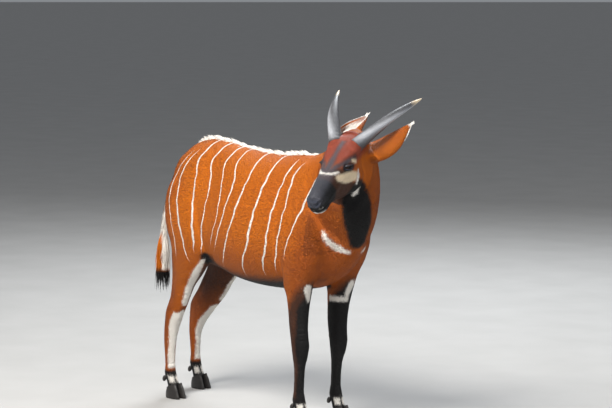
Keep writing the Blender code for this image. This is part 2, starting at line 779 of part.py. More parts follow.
def crest_locks():
    """Short pale hair along the spine, from the withers to the croup, in blades that lean to either side."""
    draw = random.Random(SEED)
    made = []
    for i in range(CREST_LOCKS):
        t = i / (CREST_LOCKS - 1)
        x = CREST_FRONT + (CREST_BACK - CREST_FRONT) * t
        lean = (0.16 if i % 2 else -0.16) + draw.uniform(-0.05, 0.05)
        root = Vector((x, lean * 0.022 * SCALE, back_height(x) - CREST_SINK))
        fade = min(1.0, 0.6 + 3.0 * min(t, 1 - t))
        lift = Vector((-0.55, lean, 1))
        along = Vector((-1, lean, 0.05))
        flat = Vector((0, 1, -lean))
        length = CREST_LENGTH * fade * draw.uniform(0.88, 1.1)
        made.append(lock(root, lift, along, flat, length, 0.0135 * SCALE, 0.0034 * SCALE, 1.2))
    return made


def tuft_locks():
    """Long dark hair round the end of the tail."""
    draw = random.Random(SEED + 1)
    x, y, z, r = TAIL_PATH[-1]
    made = []
    for i in range(TUFT_LOCKS):
        turn = math.pi * (3 - math.sqrt(5)) * i
        rise = 0.085 * (1 - i / TUFT_LOCKS)
        outwards = Vector((math.cos(turn), math.sin(turn), 0))
        inset = r * 0.25
        root = Vector((x, y, z + 0.008 + rise)) * SCALE + outwards * inset * SCALE
        root += Vector((0.0, rise * 0.06, 0)) * SCALE
        lift = outwards * 0.42 + Vector((0, 0, -0.9))
        along = Vector((0, 0, -1)) - outwards * 0.05
        length = TUFT_LENGTH * draw.uniform(0.80, 1.0)
        made.append(lock(root, lift, along, outwards, length, 0.0150 * SCALE, 0.0070 * SCALE, 1.2))
    return made


# Fusing and parting

def fuse(name, pieces, voxel, softening):
    """One closed skin round all of the pieces, with their creases eased."""
    points, faces = [], []
    for piece in pieces:
        first = len(points)
        points += [v.co.copy() for v in piece.data.vertices]
        faces += [tuple(first + v for v in p.vertices) for p in piece.data.polygons]
        bpy.data.objects.remove(piece)
    obj = new_object(name, points, faces)
    remesh = obj.modifiers.new("fuse", "REMESH")
    remesh.mode = "VOXEL"
    remesh.voxel_size = voxel
    ease = obj.modifiers.new("ease", "SMOOTH")
    ease.factor = 0.5
    ease.iterations = softening
    apply_modifiers(obj)
    keep_largest(obj)
    return obj


def thin_out(obj, triangles):
    """Fewer triangles, where the form is flat."""
    obj.data.calc_loop_triangles()
    thin = obj.modifiers.new("thin", "DECIMATE")
    thin.ratio = triangles / len(obj.data.loop_triangles)
    apply_modifiers(obj)


def body_blank(place):
    pieces = [
        loft("trunk", trunk_sections(), count=36, step=0.025),
        loft("neck", neck_sections(), count=28, step=0.02),
        loft("tail", tail_sections(), count=14, step=0.02),
        loft("skull", skull_sections(), count=28, step=0.02, place=place),
        *[leg_flesh(name) for name in LEGS],
    ]
    blank = fuse("torso", pieces, BODY_VOXEL, BODY_SOFTENING)
    thin_out(blank, BODY_TRIANGLES)
    return blank


def head_blank(place):
    pieces = [
        loft("skull", skull_sections(), count=36, step=0.012, place=place),
        loft("nape", neck_sections()[2:], count=28, step=0.02),
        *head_swellings(place),
    ]
    blank = fuse("head", pieces, HEAD_VOXEL, HEAD_SOFTENING)
    carve_head(blank, place)
    thin_out(blank, HEAD_TRIANGLES)
    return blank


# The regions that part the skin: the head's ellipsoid in its own frame, the neck's and the tail's boxes
HEAD_REGION = (Vector((0.104, 0.0, -0.083)) * SCALE, Vector((0.262, 0.130, 0.156)) * SCALE)
NECK_REGION_AT = Vector((0.470, 0.0, 0.980)) * SCALE
NECK_REGION_LEAN = math.radians(-35.3)
TAIL_REGION = (Vector((-0.748, -0.055, 0.75)) * SCALE, Vector((0.150, 0.095, 0.45)) * SCALE)


def head_region(place):
    centre, radii = HEAD_REGION
    return ellipsoid("region", centre, radii, None, place, rows=12, columns=18)


def neck_region():
    """A leaning box whose near face runs from the withers to the front of the chest."""
    half = Vector((0.30, 0.30, 0.42)) * SCALE
    turn = Matrix.Rotation(NECK_REGION_LEAN, 4, "Y")
    return box("region", NECK_REGION_AT + turn @ Vector((half.x, 0, 0)), half, turn)


def part_body(place):
    """The torso, neck, tail and legs as pieces of one skin, and the head cut from its own finer one."""
    torso = body_blank(place)
    head = head_blank(place)
    region = head_region(place)
    boolean(head, region, "INTERSECT")
    swell(region, GAP)
    boolean(torso, region, "DIFFERENCE")
    bpy.data.objects.remove(region)
    keep_largest(torso)
    pieces = {"head": head, "torso": torso}
    pieces["neck"] = split_off(torso, neck_region(), "neck")
    pieces["tail"] = split_off(torso, box("region", *TAIL_REGION), "tail")
    for name in LEGS:
        pieces[name] = split_off(torso, leg_region(name), name)
    for piece in pieces.values():
        keep_largest(piece)
    return pieces


def finish_piece(obj, look, smooth=True):
    obj.data.materials.clear()
    obj.data.materials.append(look)
    if smooth:
        obj.data.shade_smooth()
        obj.data.set_sharp_from_angle(angle=math.radians(50))


def stand_on_origin(objects):
    """Moves the whole animal so that the middle of its box is over the origin and its soles at z 0."""
    points = np.concatenate([read_vertices(obj) for obj in objects])
    low, high = points.min(axis=0), points.max(axis=0)
    shift = np.array([-(low[0] + high[0]) / 2, -(low[1] + high[1]) / 2, -low[2]])
    for obj in objects:
        write_vertices(obj, read_vertices(obj) + shift)
    print("shift", [round(float(v), 4) for v in shift])


def main():
    clear_scene()
    place = head_place()
    pieces = part_body(place)
    head = pieces["head"]
    open_sockets(head, place)
    horn_look = ("horn", HORN_GREY, 0.45)
    hoof_look = ("hoof", BLACK, 0.4)
    looks = {name: ("coat", RUFOUS, 0.6) for name in pieces}
    for side, word in ((1, "left"), (-1, "right")):
        pieces[f"eye_{word}"] = eyeball(f"eye_{word}", EYE_RADIUS, side, place)
        looks[f"eye_{word}"] = ("eye", BLACK, 0.1)
        pieces[f"horn_{word}"] = horn(f"horn_{word}", side, place)
        looks[f"horn_{word}"] = horn_look
        pieces[f"ear_{word}"] = ear(f"ear_{word}", place)
        looks[f"ear_{word}"] = ("coat", RUFOUS, 0.6)
        for neighbour in ("head", "neck"):
            cut_clear(pieces[f"horn_{word}"], pieces[neighbour])
        cut_clear(pieces[f"ear_{word}"], head)
        cut_clear(pieces[f"ear_{word}"], pieces["neck"])
        cut_clear(pieces[f"ear_{word}"], pieces[f"horn_{word}"])
    for leg_name in LEGS:
        foot = leg_name.replace("leg_", "")
        for side, word in ((1, "a"), (-1, "b")):
            pieces[f"claw_{foot}_{word}"] = claw(f"claw_{foot}_{word}", leg_name, side)
            looks[f"claw_{foot}_{word}"] = hoof_look
            pieces[f"dewclaw_{foot}_{word}"] = dewclaw(f"dewclaw_{foot}_{word}", leg_name, side, pieces[leg_name])
            looks[f"dewclaw_{foot}_{word}"] = hoof_look
    join(pieces["torso"], crest_locks())
    join(pieces["tail"], tuft_locks())
    stand_on_origin(list(pieces.values()))
    for name, obj in pieces.items():
        look, colour, roughness = looks[name]
        finish_piece(obj, material(f"{look}_{name}", colour, roughness))
    total = 0
    for name, obj in pieces.items():
        obj.data.calc_loop_triangles()
        total += len(obj.data.loop_triangles)
    print("triangles", total)


main()
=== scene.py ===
# %% [markdown]
# # A young bongo bull, life size
# This notebook dresses a packed museum model of a bongo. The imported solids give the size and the
# place of every part. Here the flesh becomes one skin, covered with short fur, and the eyes, horns
# and hooves get their fine shape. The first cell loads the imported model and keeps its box.

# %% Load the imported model
import functools
import math
from contextlib import contextmanager

import bmesh
import bpy
import numpy as np
from mathutils import Matrix, Vector
from mathutils.bvhtree import BVHTree


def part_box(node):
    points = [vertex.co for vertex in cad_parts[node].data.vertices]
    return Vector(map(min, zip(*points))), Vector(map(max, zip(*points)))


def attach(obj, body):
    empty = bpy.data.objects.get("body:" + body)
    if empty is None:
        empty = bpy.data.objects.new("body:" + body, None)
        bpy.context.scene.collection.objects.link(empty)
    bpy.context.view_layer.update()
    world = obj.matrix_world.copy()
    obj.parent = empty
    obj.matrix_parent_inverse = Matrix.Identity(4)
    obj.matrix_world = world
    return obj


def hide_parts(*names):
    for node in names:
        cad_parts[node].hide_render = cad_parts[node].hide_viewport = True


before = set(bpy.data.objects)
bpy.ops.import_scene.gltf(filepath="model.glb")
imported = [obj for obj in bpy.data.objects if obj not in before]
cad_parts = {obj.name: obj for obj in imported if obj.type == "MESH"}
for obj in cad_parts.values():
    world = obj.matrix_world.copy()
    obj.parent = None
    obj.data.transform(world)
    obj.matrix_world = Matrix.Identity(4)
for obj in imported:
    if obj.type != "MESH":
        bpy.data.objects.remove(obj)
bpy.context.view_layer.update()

# %% [markdown]
# ## Where the head is
# The head has a frame of its own: +X runs down the face, +Y to its left and +Z out of the forehead.
# Everything on the face is easier to place there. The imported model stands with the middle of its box
# over the origin, so the notebook works in the animal's own frame, with the spine on y = 0, and moves
# each finished piece by SHIFT. The two eyes say how large that shift is.

# %% The head's frame and the shift
def turn_about(axis, degrees):
    return np.array(Matrix.Rotation(math.radians(degrees), 3, axis))


HEAD_AT = np.array((0.631, -0.115, 1.191))
HEAD_TURN = turn_about("Z", -69.8) @ turn_about("Y", 32.7) @ turn_about("X", -4.4)
HEAD_MIDDLE = (0.11, 0, -0.08)
EYE_AT = np.array((0.105, 0.0440, -0.039))
EYE_RADIUS = 0.0225
SIDES = {1: "left", -1: "right"}


def from_head(points):
    return np.asarray(points) @ HEAD_TURN.T + HEAD_AT


def to_head(points):
    return (np.asarray(points) - HEAD_AT) @ HEAD_TURN


def head_distance(points, centre=HEAD_MIDDLE):
    return np.linalg.norm(to_head(points) - centre, axis=1)


def middle(node):
    low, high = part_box(node)
    return np.array((low + high) / 2)


EYES_MEAN = (from_head(EYE_AT) + from_head(EYE_AT * (1, -1, 1))) / 2
SHIFT = (middle("eye_left") + middle("eye_right")) / 2 - EYES_MEAN
SHIFT[2] = 0.0
print("shift", SHIFT.round(4))

# %% [markdown]
# ## The camera
# The photo was taken from the animal's front right, a little above its belly, with a long lens. The
# camera looks at a point low on the left of the shoulder, from ten metres away.

# %% Camera at the photo's angle
CAMERA_AZIMUTH, CAMERA_ELEVATION, CAMERA_DISTANCE = math.radians(50), math.radians(6), 10.0
CAMERA_TARGET = np.array((0.0098, 0.202, 0.870)) + SHIFT
LENS, SENSOR = 138.35, 36.0


def make_camera():
    level = math.cos(CAMERA_ELEVATION)
    away = np.array((math.sin(CAMERA_AZIMUTH) * level, -math.cos(CAMERA_AZIMUTH) * level,
                     math.sin(CAMERA_ELEVATION)))
    data = bpy.data.cameras.new("camera")
    data.lens, data.sensor_width, data.clip_end = LENS, SENSOR, 100
    camera = bpy.data.objects.new("camera", data)
    camera.location = CAMERA_TARGET + away * CAMERA_DISTANCE
    camera.rotation_euler = Vector(-away).to_track_quat("-Z", "Y").to_euler()
    bpy.context.scene.collection.objects.link(camera)
    bpy.context.scene.camera = camera


make_camera()

# %% [markdown]
# ## Shapes from cross-sections
# A body is easiest to describe by slices. Each slice has a dorsal and a ventral point, a half width,
# the height of its widest line and how square it is above and below. A smooth curve through all of
# these numbers gives the slices in between, and rings of points round the slices make a skin.

# %% Slices, rings and skins
def section(dorsal, ventral, width, widest=0.5, square=(2.0, 2.0), turn=0.0):
    dorsal, ventral = np.array(dorsal, float), np.array(ventral, float)
    height = np.linalg.norm(dorsal - ventral)
    up = (dorsal - ventral) / height
    centre = ventral + up * height * widest
    return [*centre, *up, math.radians(turn), width, height * (1 - widest), height * widest, *square]


def smooth_rows(rows, step):
    rows = np.array(rows, float)
    chords = np.linalg.norm(np.diff(rows[:, :3], axis=0), axis=1)
    t = np.concatenate([[0], np.cumsum(np.maximum(chords, 1e-4))])
    slopes = np.gradient(rows, t, axis=0)
    smooth = []
    for i in range(len(rows) - 1):
        span = t[i + 1] - t[i]
        for u in np.arange(max(1, round(span / step))) / max(1, round(span / step)):
            here = (2 * u**3 - 3 * u**2 + 1) * rows[i] + (u**3 - 2 * u**2 + u) * span * slopes[i]
            there = (3 * u**2 - 2 * u**3) * rows[i + 1] + (u**3 - u**2) * span * slopes[i + 1]
            smooth.append(here + there)
    return smooth + [rows[-1]]


def ring(row, count):
    centre, up = np.array(row[0:3]), np.array(row[3:6]) / np.linalg.norm(row[3:6])
    turn, width, above, below, square_top, square_low = row[6:]
    side = np.array((-math.sin(turn), math.cos(turn), 0))
    side -= up * (side @ up)
    side /= np.linalg.norm(side)
    angle = np.arange(count) * 2 * math.pi / count
    c, s = np.cos(angle), np.sin(angle)
    power = np.where(s > 0, 2 / square_top, 2 / square_low)
    across = np.sign(c) * np.abs(c) ** power * max(width, 1e-4)
    along = np.sign(s) * np.abs(s) ** power * np.where(s > 0, max(above, 1e-4), max(below, 1e-4))
    return centre + across[:, None] * side + along[:, None] * up


def skin_of(rings, folded=False):
    """Points and triangles of a closed skin over rings of equal count."""
    rings = np.array(rings)
    layers, count = rings.shape[:2]
    points = rings.reshape(-1, 3)
    faces = []
    for i in range(layers - 1):
        for k in range(count):
            a, b = i * count + k, i * count + (k + 1) % count
            faces += [(a, b, b + count), (a, b + count, a + count)]
    ends = ((0, rings[0], True), ((layers - 1) * count, rings[-1], False))
    for first, end_ring, flip in ends:
        if folded:
            for k in range(count // 2 - 1):
                a, b, c, d = first + k, first + k + 1, first + count - 2 - k, first + count - 1 - k
                faces += [(c, b, a), (d, c, a)] if flip else [(a, b, c), (a, c, d)]
            continue
        tip = len(points)
        points = np.vstack([points, end_ring.mean(axis=0)])
        for k in range(count):
            a, b = first + k, first + (k + 1) % count
            faces.append((b, a, tip) if flip else (a, b, tip))
    faces = np.array(faces)
    corners = points[faces]
    if np.linalg.det(corners).sum() < 0:
        faces = faces[:, ::-1]
    return points, faces


def loft(rows, count=32, step=0.012, in_head=False):
    points, faces = skin_of([ring(row, count) for row in smooth_rows(rows, step)])
    return (from_head(points) if in_head else points), faces


def ellipsoid(centre, radii, yaw=0.0, in_head=False, rows=18, columns=28):
    polar = np.arange(1, rows) * math.pi / rows
    around = np.arange(columns) * 2 * math.pi / columns
    rings = [np.stack([math.sin(a) * np.cos(around), math.sin(a) * np.sin(around),
                       np.full(columns, math.cos(a))], 1) for a in polar]
    points, faces = skin_of(rings)
    points = points * radii @ turn_about("Z", yaw).T + centre
    return (from_head(points) if in_head else points), faces


# %% [markdown]
# ## Meshes from arrays
# Large meshes are much faster to make from arrays than from lists. These helpers make an object, read
# its points back and give it a smooth surface. A finished piece is moved by SHIFT inside its mesh, so
# that its object stays at the origin.

# %% Mesh helpers
def new_object(name, points, faces):
    faces = np.asarray(faces)
    mesh = bpy.data.meshes.new(name)
    mesh.vertices.add(len(points))
    mesh.vertices.foreach_set("co", np.asarray(points, np.float32).ravel())
    mesh.loops.add(faces.size)
    mesh.loops.foreach_set("vertex_index", faces.astype(np.int32).ravel())
    mesh.polygons.add(len(faces))
    mesh.polygons.foreach_set("loop_start", np.arange(len(faces), dtype=np.int32) * faces.shape[1])
    mesh.update(calc_edges=True)
    made = bpy.data.objects.new(name, mesh)
    bpy.context.scene.collection.objects.link(made)
    return made


def smooth_piece(name, points, faces, material):
    piece = new_object(name, points, faces)
    piece.data.shade_smooth()
    piece.data.materials.append(material)
    return piece


def together(parts):
    points, faces, first = [], [], 0
    for part_points, part_faces in parts:
        points.append(part_points)
        faces.append(part_faces + first)
        first += len(part_points)
    return np.vstack(points), np.vstack(faces)


def read(obj):
    flat = np.empty(len(obj.data.vertices) * 3, np.float32)
    obj.data.vertices.foreach_get("co", flat)
    return flat.reshape(-1, 3).astype(float)


def read_normals(obj):
    flat = np.empty(len(obj.data.vertices) * 3, np.float32)
    obj.data.vertex_normals.foreach_get("vector", flat)
    return flat.reshape(-1, 3).astype(float)


def write(obj, points):
    obj.data.vertices.foreach_set("co", np.asarray(points, np.float32).ravel())
    obj.data.update()


def edges_of(obj):
    flat = np.empty(len(obj.data.edges) * 2, np.int32)
    obj.data.edges.foreach_get("vertices", flat)
    return flat.reshape(-1, 2)


def bake_modifiers(obj):
    graph = bpy.context.evaluated_depsgraph_get()
    graph.update()
    mesh = bpy.data.meshes.new_from_object(obj.evaluated_get(graph))
    old = obj.data
    obj.modifiers.clear()
    obj.data = mesh
    bpy.data.meshes.remove(old)


@contextmanager
def editing(obj):
    """The object's mesh opened as a bmesh, and written back at the end."""
    mesh = bmesh.new()
    mesh.from_mesh(obj.data)
    yield mesh
    mesh.to_mesh(obj.data)
    mesh.free()


def triangle_count(obj):
    return sum(len(p.vertices) - 2 for p in obj.data.polygons)


def ease(obj, steps, strength):
    """Laplacian smoothing whose strength, 0 to 1, is given for each point."""
    points, edges = read(obj), edges_of(obj)
    count = len(points)
    links = np.bincount(edges.ravel(), minlength=count)
    for _ in range(steps):
        total = np.empty_like(points)
        for axis in range(3):
            total[:, axis] = np.bincount(edges[:, 0], points[edges[:, 1], axis], count)
            total[:, axis] += np.bincount(edges[:, 1], points[edges[:, 0], axis], count)
        mean = total / np.maximum(links, 1)[:, None]
        points += (mean - points) * (0.5 * strength)[:, None]
    write(obj, points)


def keep_largest(obj):
    """Drops scraps and sealed hollows."""
    edges, count = edges_of(obj), len(obj.data.vertices)
    group = np.arange(count)
    while True:
        low = np.minimum(group[edges[:, 0]], group[edges[:, 1]])
        before = group.copy()
        np.minimum.at(group, edges[:, 0], low)
        np.minimum.at(group, edges[:, 1], low)
        group = group[group]
        if (group == before).all():
            break
    labels, sizes = np.unique(group, return_counts=True)
    if len(labels) > 1:
        keep = labels[np.argmax(sizes)]
        with editing(obj) as mesh:
            stray = [v for v, g in zip(mesh.verts, group) if g != keep]
            bmesh.ops.delete(mesh, geom=stray, context="VERTS")


def between(low, high, value):
    """A smooth step from 0 at low to 1 at high, which may also run downwards."""
    t = np.clip((np.asarray(value) - low) / (high - low), 0, 1)
    return t * t * (3 - 2 * t)


def least(*values):
    """The smallest value at each point."""
    return functools.reduce(np.minimum, values)


def most(*values):
    """The largest value at each point."""
    return functools.reduce(np.maximum, values)


def columns(*values):
    """Vectors from their columns, any of which may be one number."""
    return np.column_stack(np.broadcast_arrays(*values))


def unit(vectors):
    return vectors / np.maximum(np.linalg.norm(vectors, axis=1), 1e-9)[:, None]


def pieces_of(points, line):
    """For each straight piece of a line: every point's share along it and distance from it."""
    line = np.array(line, float)
    for a, b in zip(line[:-1], line[1:]):
        t = np.clip((points - a) @ (b - a) / ((b - a) @ (b - a)), 0, 1)
        yield t, np.linalg.norm(points - (a + t[:, None] * (b - a)), axis=1)


def near(points, line):
    """Distance from each point to a run of straight pieces."""
    return least(*(away for _, away in pieces_of(points, line)))


def both_sides(points):
    """The points with their y made positive, for forms that are alike on both sides."""
    return columns(points[:, 0], np.abs(points[:, 1]), points[:, 2])


# %% [markdown]
# ## The trunk, the neck and the tail
# Stations along the body give its back line, belly line and half width, in metres. A bongo is deep in
# the chest, a little higher over the croup than at the withers, and its neck is short and thick.

# %% Slices of the trunk, neck and tail
TRUNK = (
    (-0.570, 0.985, 0.830, 0.045, 0.50, 2.0, 2.0),
    (-0.540, 1.050, 0.720, 0.095, 0.50, 2.0, 2.0),
    (-0.470, 1.108, 0.640, 0.138, 0.52, 2.0, 2.2),
    (-0.370, 1.138, 0.600, 0.160, 0.54, 1.9, 2.2),
    (-0.250, 1.136, 0.578, 0.168, 0.50, 1.9, 2.2),
    (-0.120, 1.118, 0.552, 0.188, 0.46, 2.0, 2.2),
    (0.020, 1.104, 0.541, 0.200, 0.44, 2.0, 2.2),
    (0.150, 1.102, 0.541, 0.194, 0.44, 1.9, 2.1),
    (0.270, 1.112, 0.550, 0.172, 0.45, 1.7, 2.0),
    (0.380, 1.108, 0.575, 0.148, 0.46, 1.7, 2.0),
    (0.480, 1.060, 0.628, 0.120, 0.46, 1.8, 2.0),
    (0.550, 0.980, 0.695, 0.085, 0.46, 2.0, 2.0),
    (0.588, 0.890, 0.755, 0.040, 0.46, 2.0, 2.0),
)
TRUNK_ROWS = [section((x, 0, top), (x, 0, low), w, mid, (a, b)) for x, top, low, w, mid, a, b in TRUNK]

NECK_ROWS = [
    section((0.270, 0.000, 1.100), (0.430, 0.000, 0.640), 0.125, 0.48, (1.8, 2.0)),
    section((0.370, 0.000, 1.128), (0.580, 0.000, 0.745), 0.122, 0.48, (1.8, 2.0)),
    section((0.450, 0.000, 1.162), (0.640, -0.002, 0.865), 0.107, 0.48, (1.9, 2.1)),
    section((0.500, -0.006, 1.194), (0.655, -0.014, 0.965), 0.091, 0.48, (2.0, 2.1), -15),
    section((0.540, -0.018, 1.222), (0.655, -0.040, 1.030), 0.078, 0.50, (2.0, 2.1), -34),
    section((0.575, -0.042, 1.236), (0.650, -0.070, 1.062), 0.069, 0.50, (2.0, 2.1), -52),
    section((0.605, -0.075, 1.225), (0.640, -0.110, 1.072), 0.062, 0.50, (2.0, 2.1), -66),
]

TAIL_PATH = np.array((
    (-0.500, 0.000, 1.052), (-0.556, -0.004, 1.026), (-0.602, -0.014, 0.965), (-0.638, -0.032, 0.870),
    (-0.656, -0.048, 0.780), (-0.663, -0.057, 0.690), (-0.664, -0.061, 0.600),
))
TAIL_RADII = (0.030, 0.029, 0.024, 0.020, 0.0175, 0.016, 0.0125)


def tail_rows():
    rows = []
    for i, (centre, r) in enumerate(zip(TAIL_PATH, TAIL_RADII)):
        run = TAIL_PATH[min(i + 1, len(TAIL_PATH) - 1)] - TAIL_PATH[max(i - 1, 0)]
        outwards = np.cross(run, (0, -1, 0))
        outwards /= np.linalg.norm(outwards)
        rows.append(section(centre + outwards * r, centre - outwards * r, r * 0.9))
    return rows


# %% [markdown]
# ## The legs
# A leg is a column of level slices: height, front line, back line, half width and distance from the
# midline. The left hind leg stands back, and it takes up that step between its stifle and its hock.

# %% Slices of the legs
FORE_LEG = np.array((
    (0.960, 0.435, 0.290, 0.030, 0.070), (0.860, 0.485, 0.262, 0.056, 0.098),
    (0.760, 0.495, 0.255, 0.066, 0.110), (0.680, 0.465, 0.256, 0.065, 0.115),
    (0.615, 0.422, 0.263, 0.056, 0.115), (0.550, 0.399, 0.276, 0.047, 0.112),
    (0.480, 0.379, 0.286, 0.0420, 0.109), (0.410, 0.372, 0.292, 0.0390, 0.108),
    (0.362, 0.374, 0.300, 0.0375, 0.108), (0.322, 0.376, 0.307, 0.0370, 0.108),
    (0.290, 0.373, 0.310, 0.0340, 0.108), (0.255, 0.363, 0.311, 0.0270, 0.107),
    (0.190, 0.356, 0.309, 0.0230, 0.106), (0.135, 0.355, 0.304, 0.0235, 0.106),
    (0.108, 0.362, 0.298, 0.0275, 0.106), (0.080, 0.370, 0.310, 0.0250, 0.106),
    (0.058, 0.381, 0.320, 0.0270, 0.106), (0.030, 0.391, 0.328, 0.0290, 0.106),
))
HIND_LEG = np.array((
    (1.030, -0.300, -0.470, 0.035, 0.075), (0.930, -0.240, -0.548, 0.066, 0.092),
    (0.830, -0.222, -0.556, 0.080, 0.103), (0.750, -0.228, -0.542, 0.078, 0.106),
    (0.680, -0.248, -0.518, 0.068, 0.107), (0.610, -0.285, -0.508, 0.059, 0.108),
    (0.550, -0.335, -0.510, 0.049, 0.108), (0.500, -0.384, -0.516, 0.041, 0.108),
    (0.450, -0.412, -0.526, 0.036, 0.109), (0.405, -0.436, -0.547, 0.0340, 0.110),
    (0.378, -0.452, -0.558, 0.0330, 0.111), (0.345, -0.468, -0.562, 0.0320, 0.112),
    (0.305, -0.488, -0.566, 0.0300, 0.113), (0.250, -0.505, -0.568, 0.0270, 0.114),
    (0.190, -0.511, -0.564, 0.0240, 0.115), (0.135, -0.512, -0.562, 0.0235, 0.115),
    (0.104, -0.506, -0.566, 0.0265, 0.115), (0.078, -0.495, -0.553, 0.0245, 0.115),
    (0.058, -0.484, -0.543, 0.0265, 0.115), (0.030, -0.474, -0.536, 0.0285, 0.115),
))
LEGS = {
    "fore_right": (FORE_LEG, -1, 0.0),
    "fore_left": (FORE_LEG, 1, -0.015),
    "hind_right": (HIND_LEG, -1, 0.0),
    "hind_left": (HIND_LEG, 1, -0.120),
}
FRONT_STEP, BACK_STEP = (0.50, 0.22), (0.66, 0.36)
CORONET_HEIGHT, CORONET_SLOPE = 0.050, 0.36


def step_at(z, step, levels):
    return step * between(levels[0], levels[1], z)


def leg_line(name, z):
    """Front x, back x, half width and y of a leg at each height."""
    table, side, step = LEGS[name]
    table = table[::-1]
    front = np.interp(z, table[:, 0], table[:, 1]) + step_at(z, step, FRONT_STEP)
    back = np.interp(z, table[:, 0], table[:, 2]) + step_at(z, step, BACK_STEP)
    return front, back, np.interp(z, table[:, 0], table[:, 3]), side * np.interp(z, table[:, 0], table[:, 4])


def leg_rows(name):
    heights = LEGS[name][0][:, 0]
    return [section((front, y, z), (back, y, z), width, 0.55, (2.1, 2.1))
            for z, front, back, width, y in zip(heights, *leg_line(name, heights))]


def foot_at(name):
    table, side, step = LEGS[name]
    z, front, back, width, y = table[-1]
    return np.array(((front + back) / 2 + step, side * y, 0))


# %% [markdown]
# ## The skull and the ears
# The head is a loft too, with swellings for the brows, lids, cheeks, horn bosses, nose and lips. An
# ear is a leaf rolled into a cup: each slice is an arc with an outer and an inner side.

# %% Slices of the skull, its swellings and the ears
SKULL = (
    (-0.085, -0.035, -0.115, 0.038, 0.50, 2.0, 2.0),
    (-0.065, -0.010, -0.146, 0.054, 0.52, 2.2, 2.0),
    (-0.030, 0.004, -0.172, 0.064, 0.60, 2.4, 1.9),
    (0.015, 0.010, -0.190, 0.068, 0.66, 2.5, 1.9),
    (0.065, 0.010, -0.197, 0.067, 0.68, 2.5, 1.9),
    (0.105, 0.005, -0.192, 0.063, 0.68, 2.4, 1.9),
    (0.143, 0.000, -0.176, 0.056, 0.64, 2.4, 1.9),
    (0.180, -0.005, -0.156, 0.0490, 0.60, 2.4, 2.0),
    (0.217, -0.009, -0.139, 0.0435, 0.57, 2.4, 2.0),
    (0.254, -0.013, -0.127, 0.0400, 0.56, 2.3, 2.0),
    (0.288, -0.017, -0.120, 0.0370, 0.55, 2.3, 2.0),
    (0.315, -0.024, -0.114, 0.0340, 0.54, 2.3, 2.0),
    (0.333, -0.033, -0.105, 0.0285, 0.54, 2.2, 2.0),
    (0.341, -0.047, -0.092, 0.0170, 0.54, 2.0, 2.0),
)
SKULL_ROWS = [section((x, 0, top), (x, 0, low), w, mid, (a, b)) for x, top, low, w, mid, a, b in SKULL]

# Centre, radii and yaw of each swelling on one side
SWELLINGS = {
    "brow": ((0.082, 0.0350, -0.020), (0.064, 0.027, 0.025), 12),
    "lids": ((0.105, 0.0440, -0.040), (0.037, 0.0262, 0.0290), 14),
    "cheek": ((0.072, 0.0380, -0.122), (0.070, 0.027, 0.060), 8),
    "horn boss": ((0.010, 0.0370, -0.015), (0.056, 0.036, 0.026), 0),
    "muzzle side": ((0.170, 0.0290, -0.088), (0.078, 0.0205, 0.040), 12),
    "nose wing": ((0.310, 0.0175, -0.053), (0.031, 0.0180, 0.022), 6),
    "upper lip": ((0.296, 0.0205, -0.084), (0.039, 0.0165, 0.019), 6),
    "lower lip": ((0.284, 0.0125, -0.108), (0.039, 0.0175, 0.0130), 4),
}

EAR_LENGTH, EAR_WIDTH, EAR_WALL = 0.225, 0.067, 0.0050
EAR_BOW = 0.10 * EAR_LENGTH
EAR_MIDDLE, EAR_BALL = 0.12, 0.14
EAR_SLICES, EAR_ARC_POINTS = 26, 21
EARS = {
    "left": ((-0.030, 0.056, -0.090), (-0.686, 0.648, 0.290), (-0.25, 0.35, -0.90)),
    "right": ((-0.034, -0.054, -0.070), (-0.945, 0.100, 0.030), (0.35, -0.35, 0.93)),
}


def ear_axes(word):
    """Root, length axis, back axis and cross axis of an ear, in the head's frame."""
    root, along, opening = (np.array(v) for v in EARS[word])
    along = along / np.linalg.norm(along)
    back = -(opening - along * (opening @ along))
    back /= np.linalg.norm(back)
    return root, along, back, np.cross(along, back)


def by_ear(local, word):
    """Whether each point, in the head's frame, is in the ball round this ear."""
    root, along, _, _ = ear_axes(word)
    return np.linalg.norm(local - root - along * EAR_MIDDLE, axis=1) < EAR_BALL


def ear_arc(t):
    """Half width, depth, wrap and sideways stretch of an ear's arc, at a share t of its length."""
    leaf = np.sin(math.pi * np.minimum(1.0, 0.16 + 0.84 * t ** 0.80)) ** 0.80
    wrap = np.radians(150 - 62 * t)
    stretch = 1 / np.maximum(np.sin(np.minimum(wrap, math.pi / 2)), 0.3)
    depth = EAR_WIDTH * (0.52 - 0.36 * t) * np.minimum(1.0, leaf + 0.35)
    return np.maximum(EAR_WIDTH * leaf, 0.003), depth, wrap, stretch


def ear_place(word, t, turn, shrink):
    """Points on an ear and the ways out of it, in the head's frame. A turn of -1 or 1 is the rim."""
    root, along, back, across = ear_axes(word)
    width, depth, wrap, stretch = ear_arc(t)
    c, s = np.cos(wrap * turn), np.sin(wrap * turn)
    centre = root + along * (EAR_LENGTH * t)[:, None] - back * (EAR_BOW * np.sin(math.pi * t))[:, None]
    places = centre + across * ((width - shrink) * s * stretch)[:, None]
    places = places + back * ((depth - shrink) * c)[:, None]
    return places, unit(across * s[:, None] + back * c[:, None])


def ear(word):
    rings, turn = [], np.linspace(-1, 1, EAR_ARC_POINTS)
    for t in np.linspace(0, 1, EAR_SLICES):
        wall = min(EAR_WALL, 0.45 * ear_arc(t)[0])
        outer, inner = (ear_place(word, np.full(len(turn), t), turn, shrink)[0] for shrink in (0.0, wall))
        rings.append(np.vstack([outer, inner[::-1]]))
    points, faces = skin_of(rings, folded=True)
    return from_head(points), faces


# %% [markdown]
# ## One skin
# All of the flesh overlaps freely at first. A voxel remesh turns it into one closed skin, and
# smoothing eases the creases where parts meet. The ears are thin, so they are smoothed least.

# %% Fuse the flesh into one skin
VOXEL = 0.0031


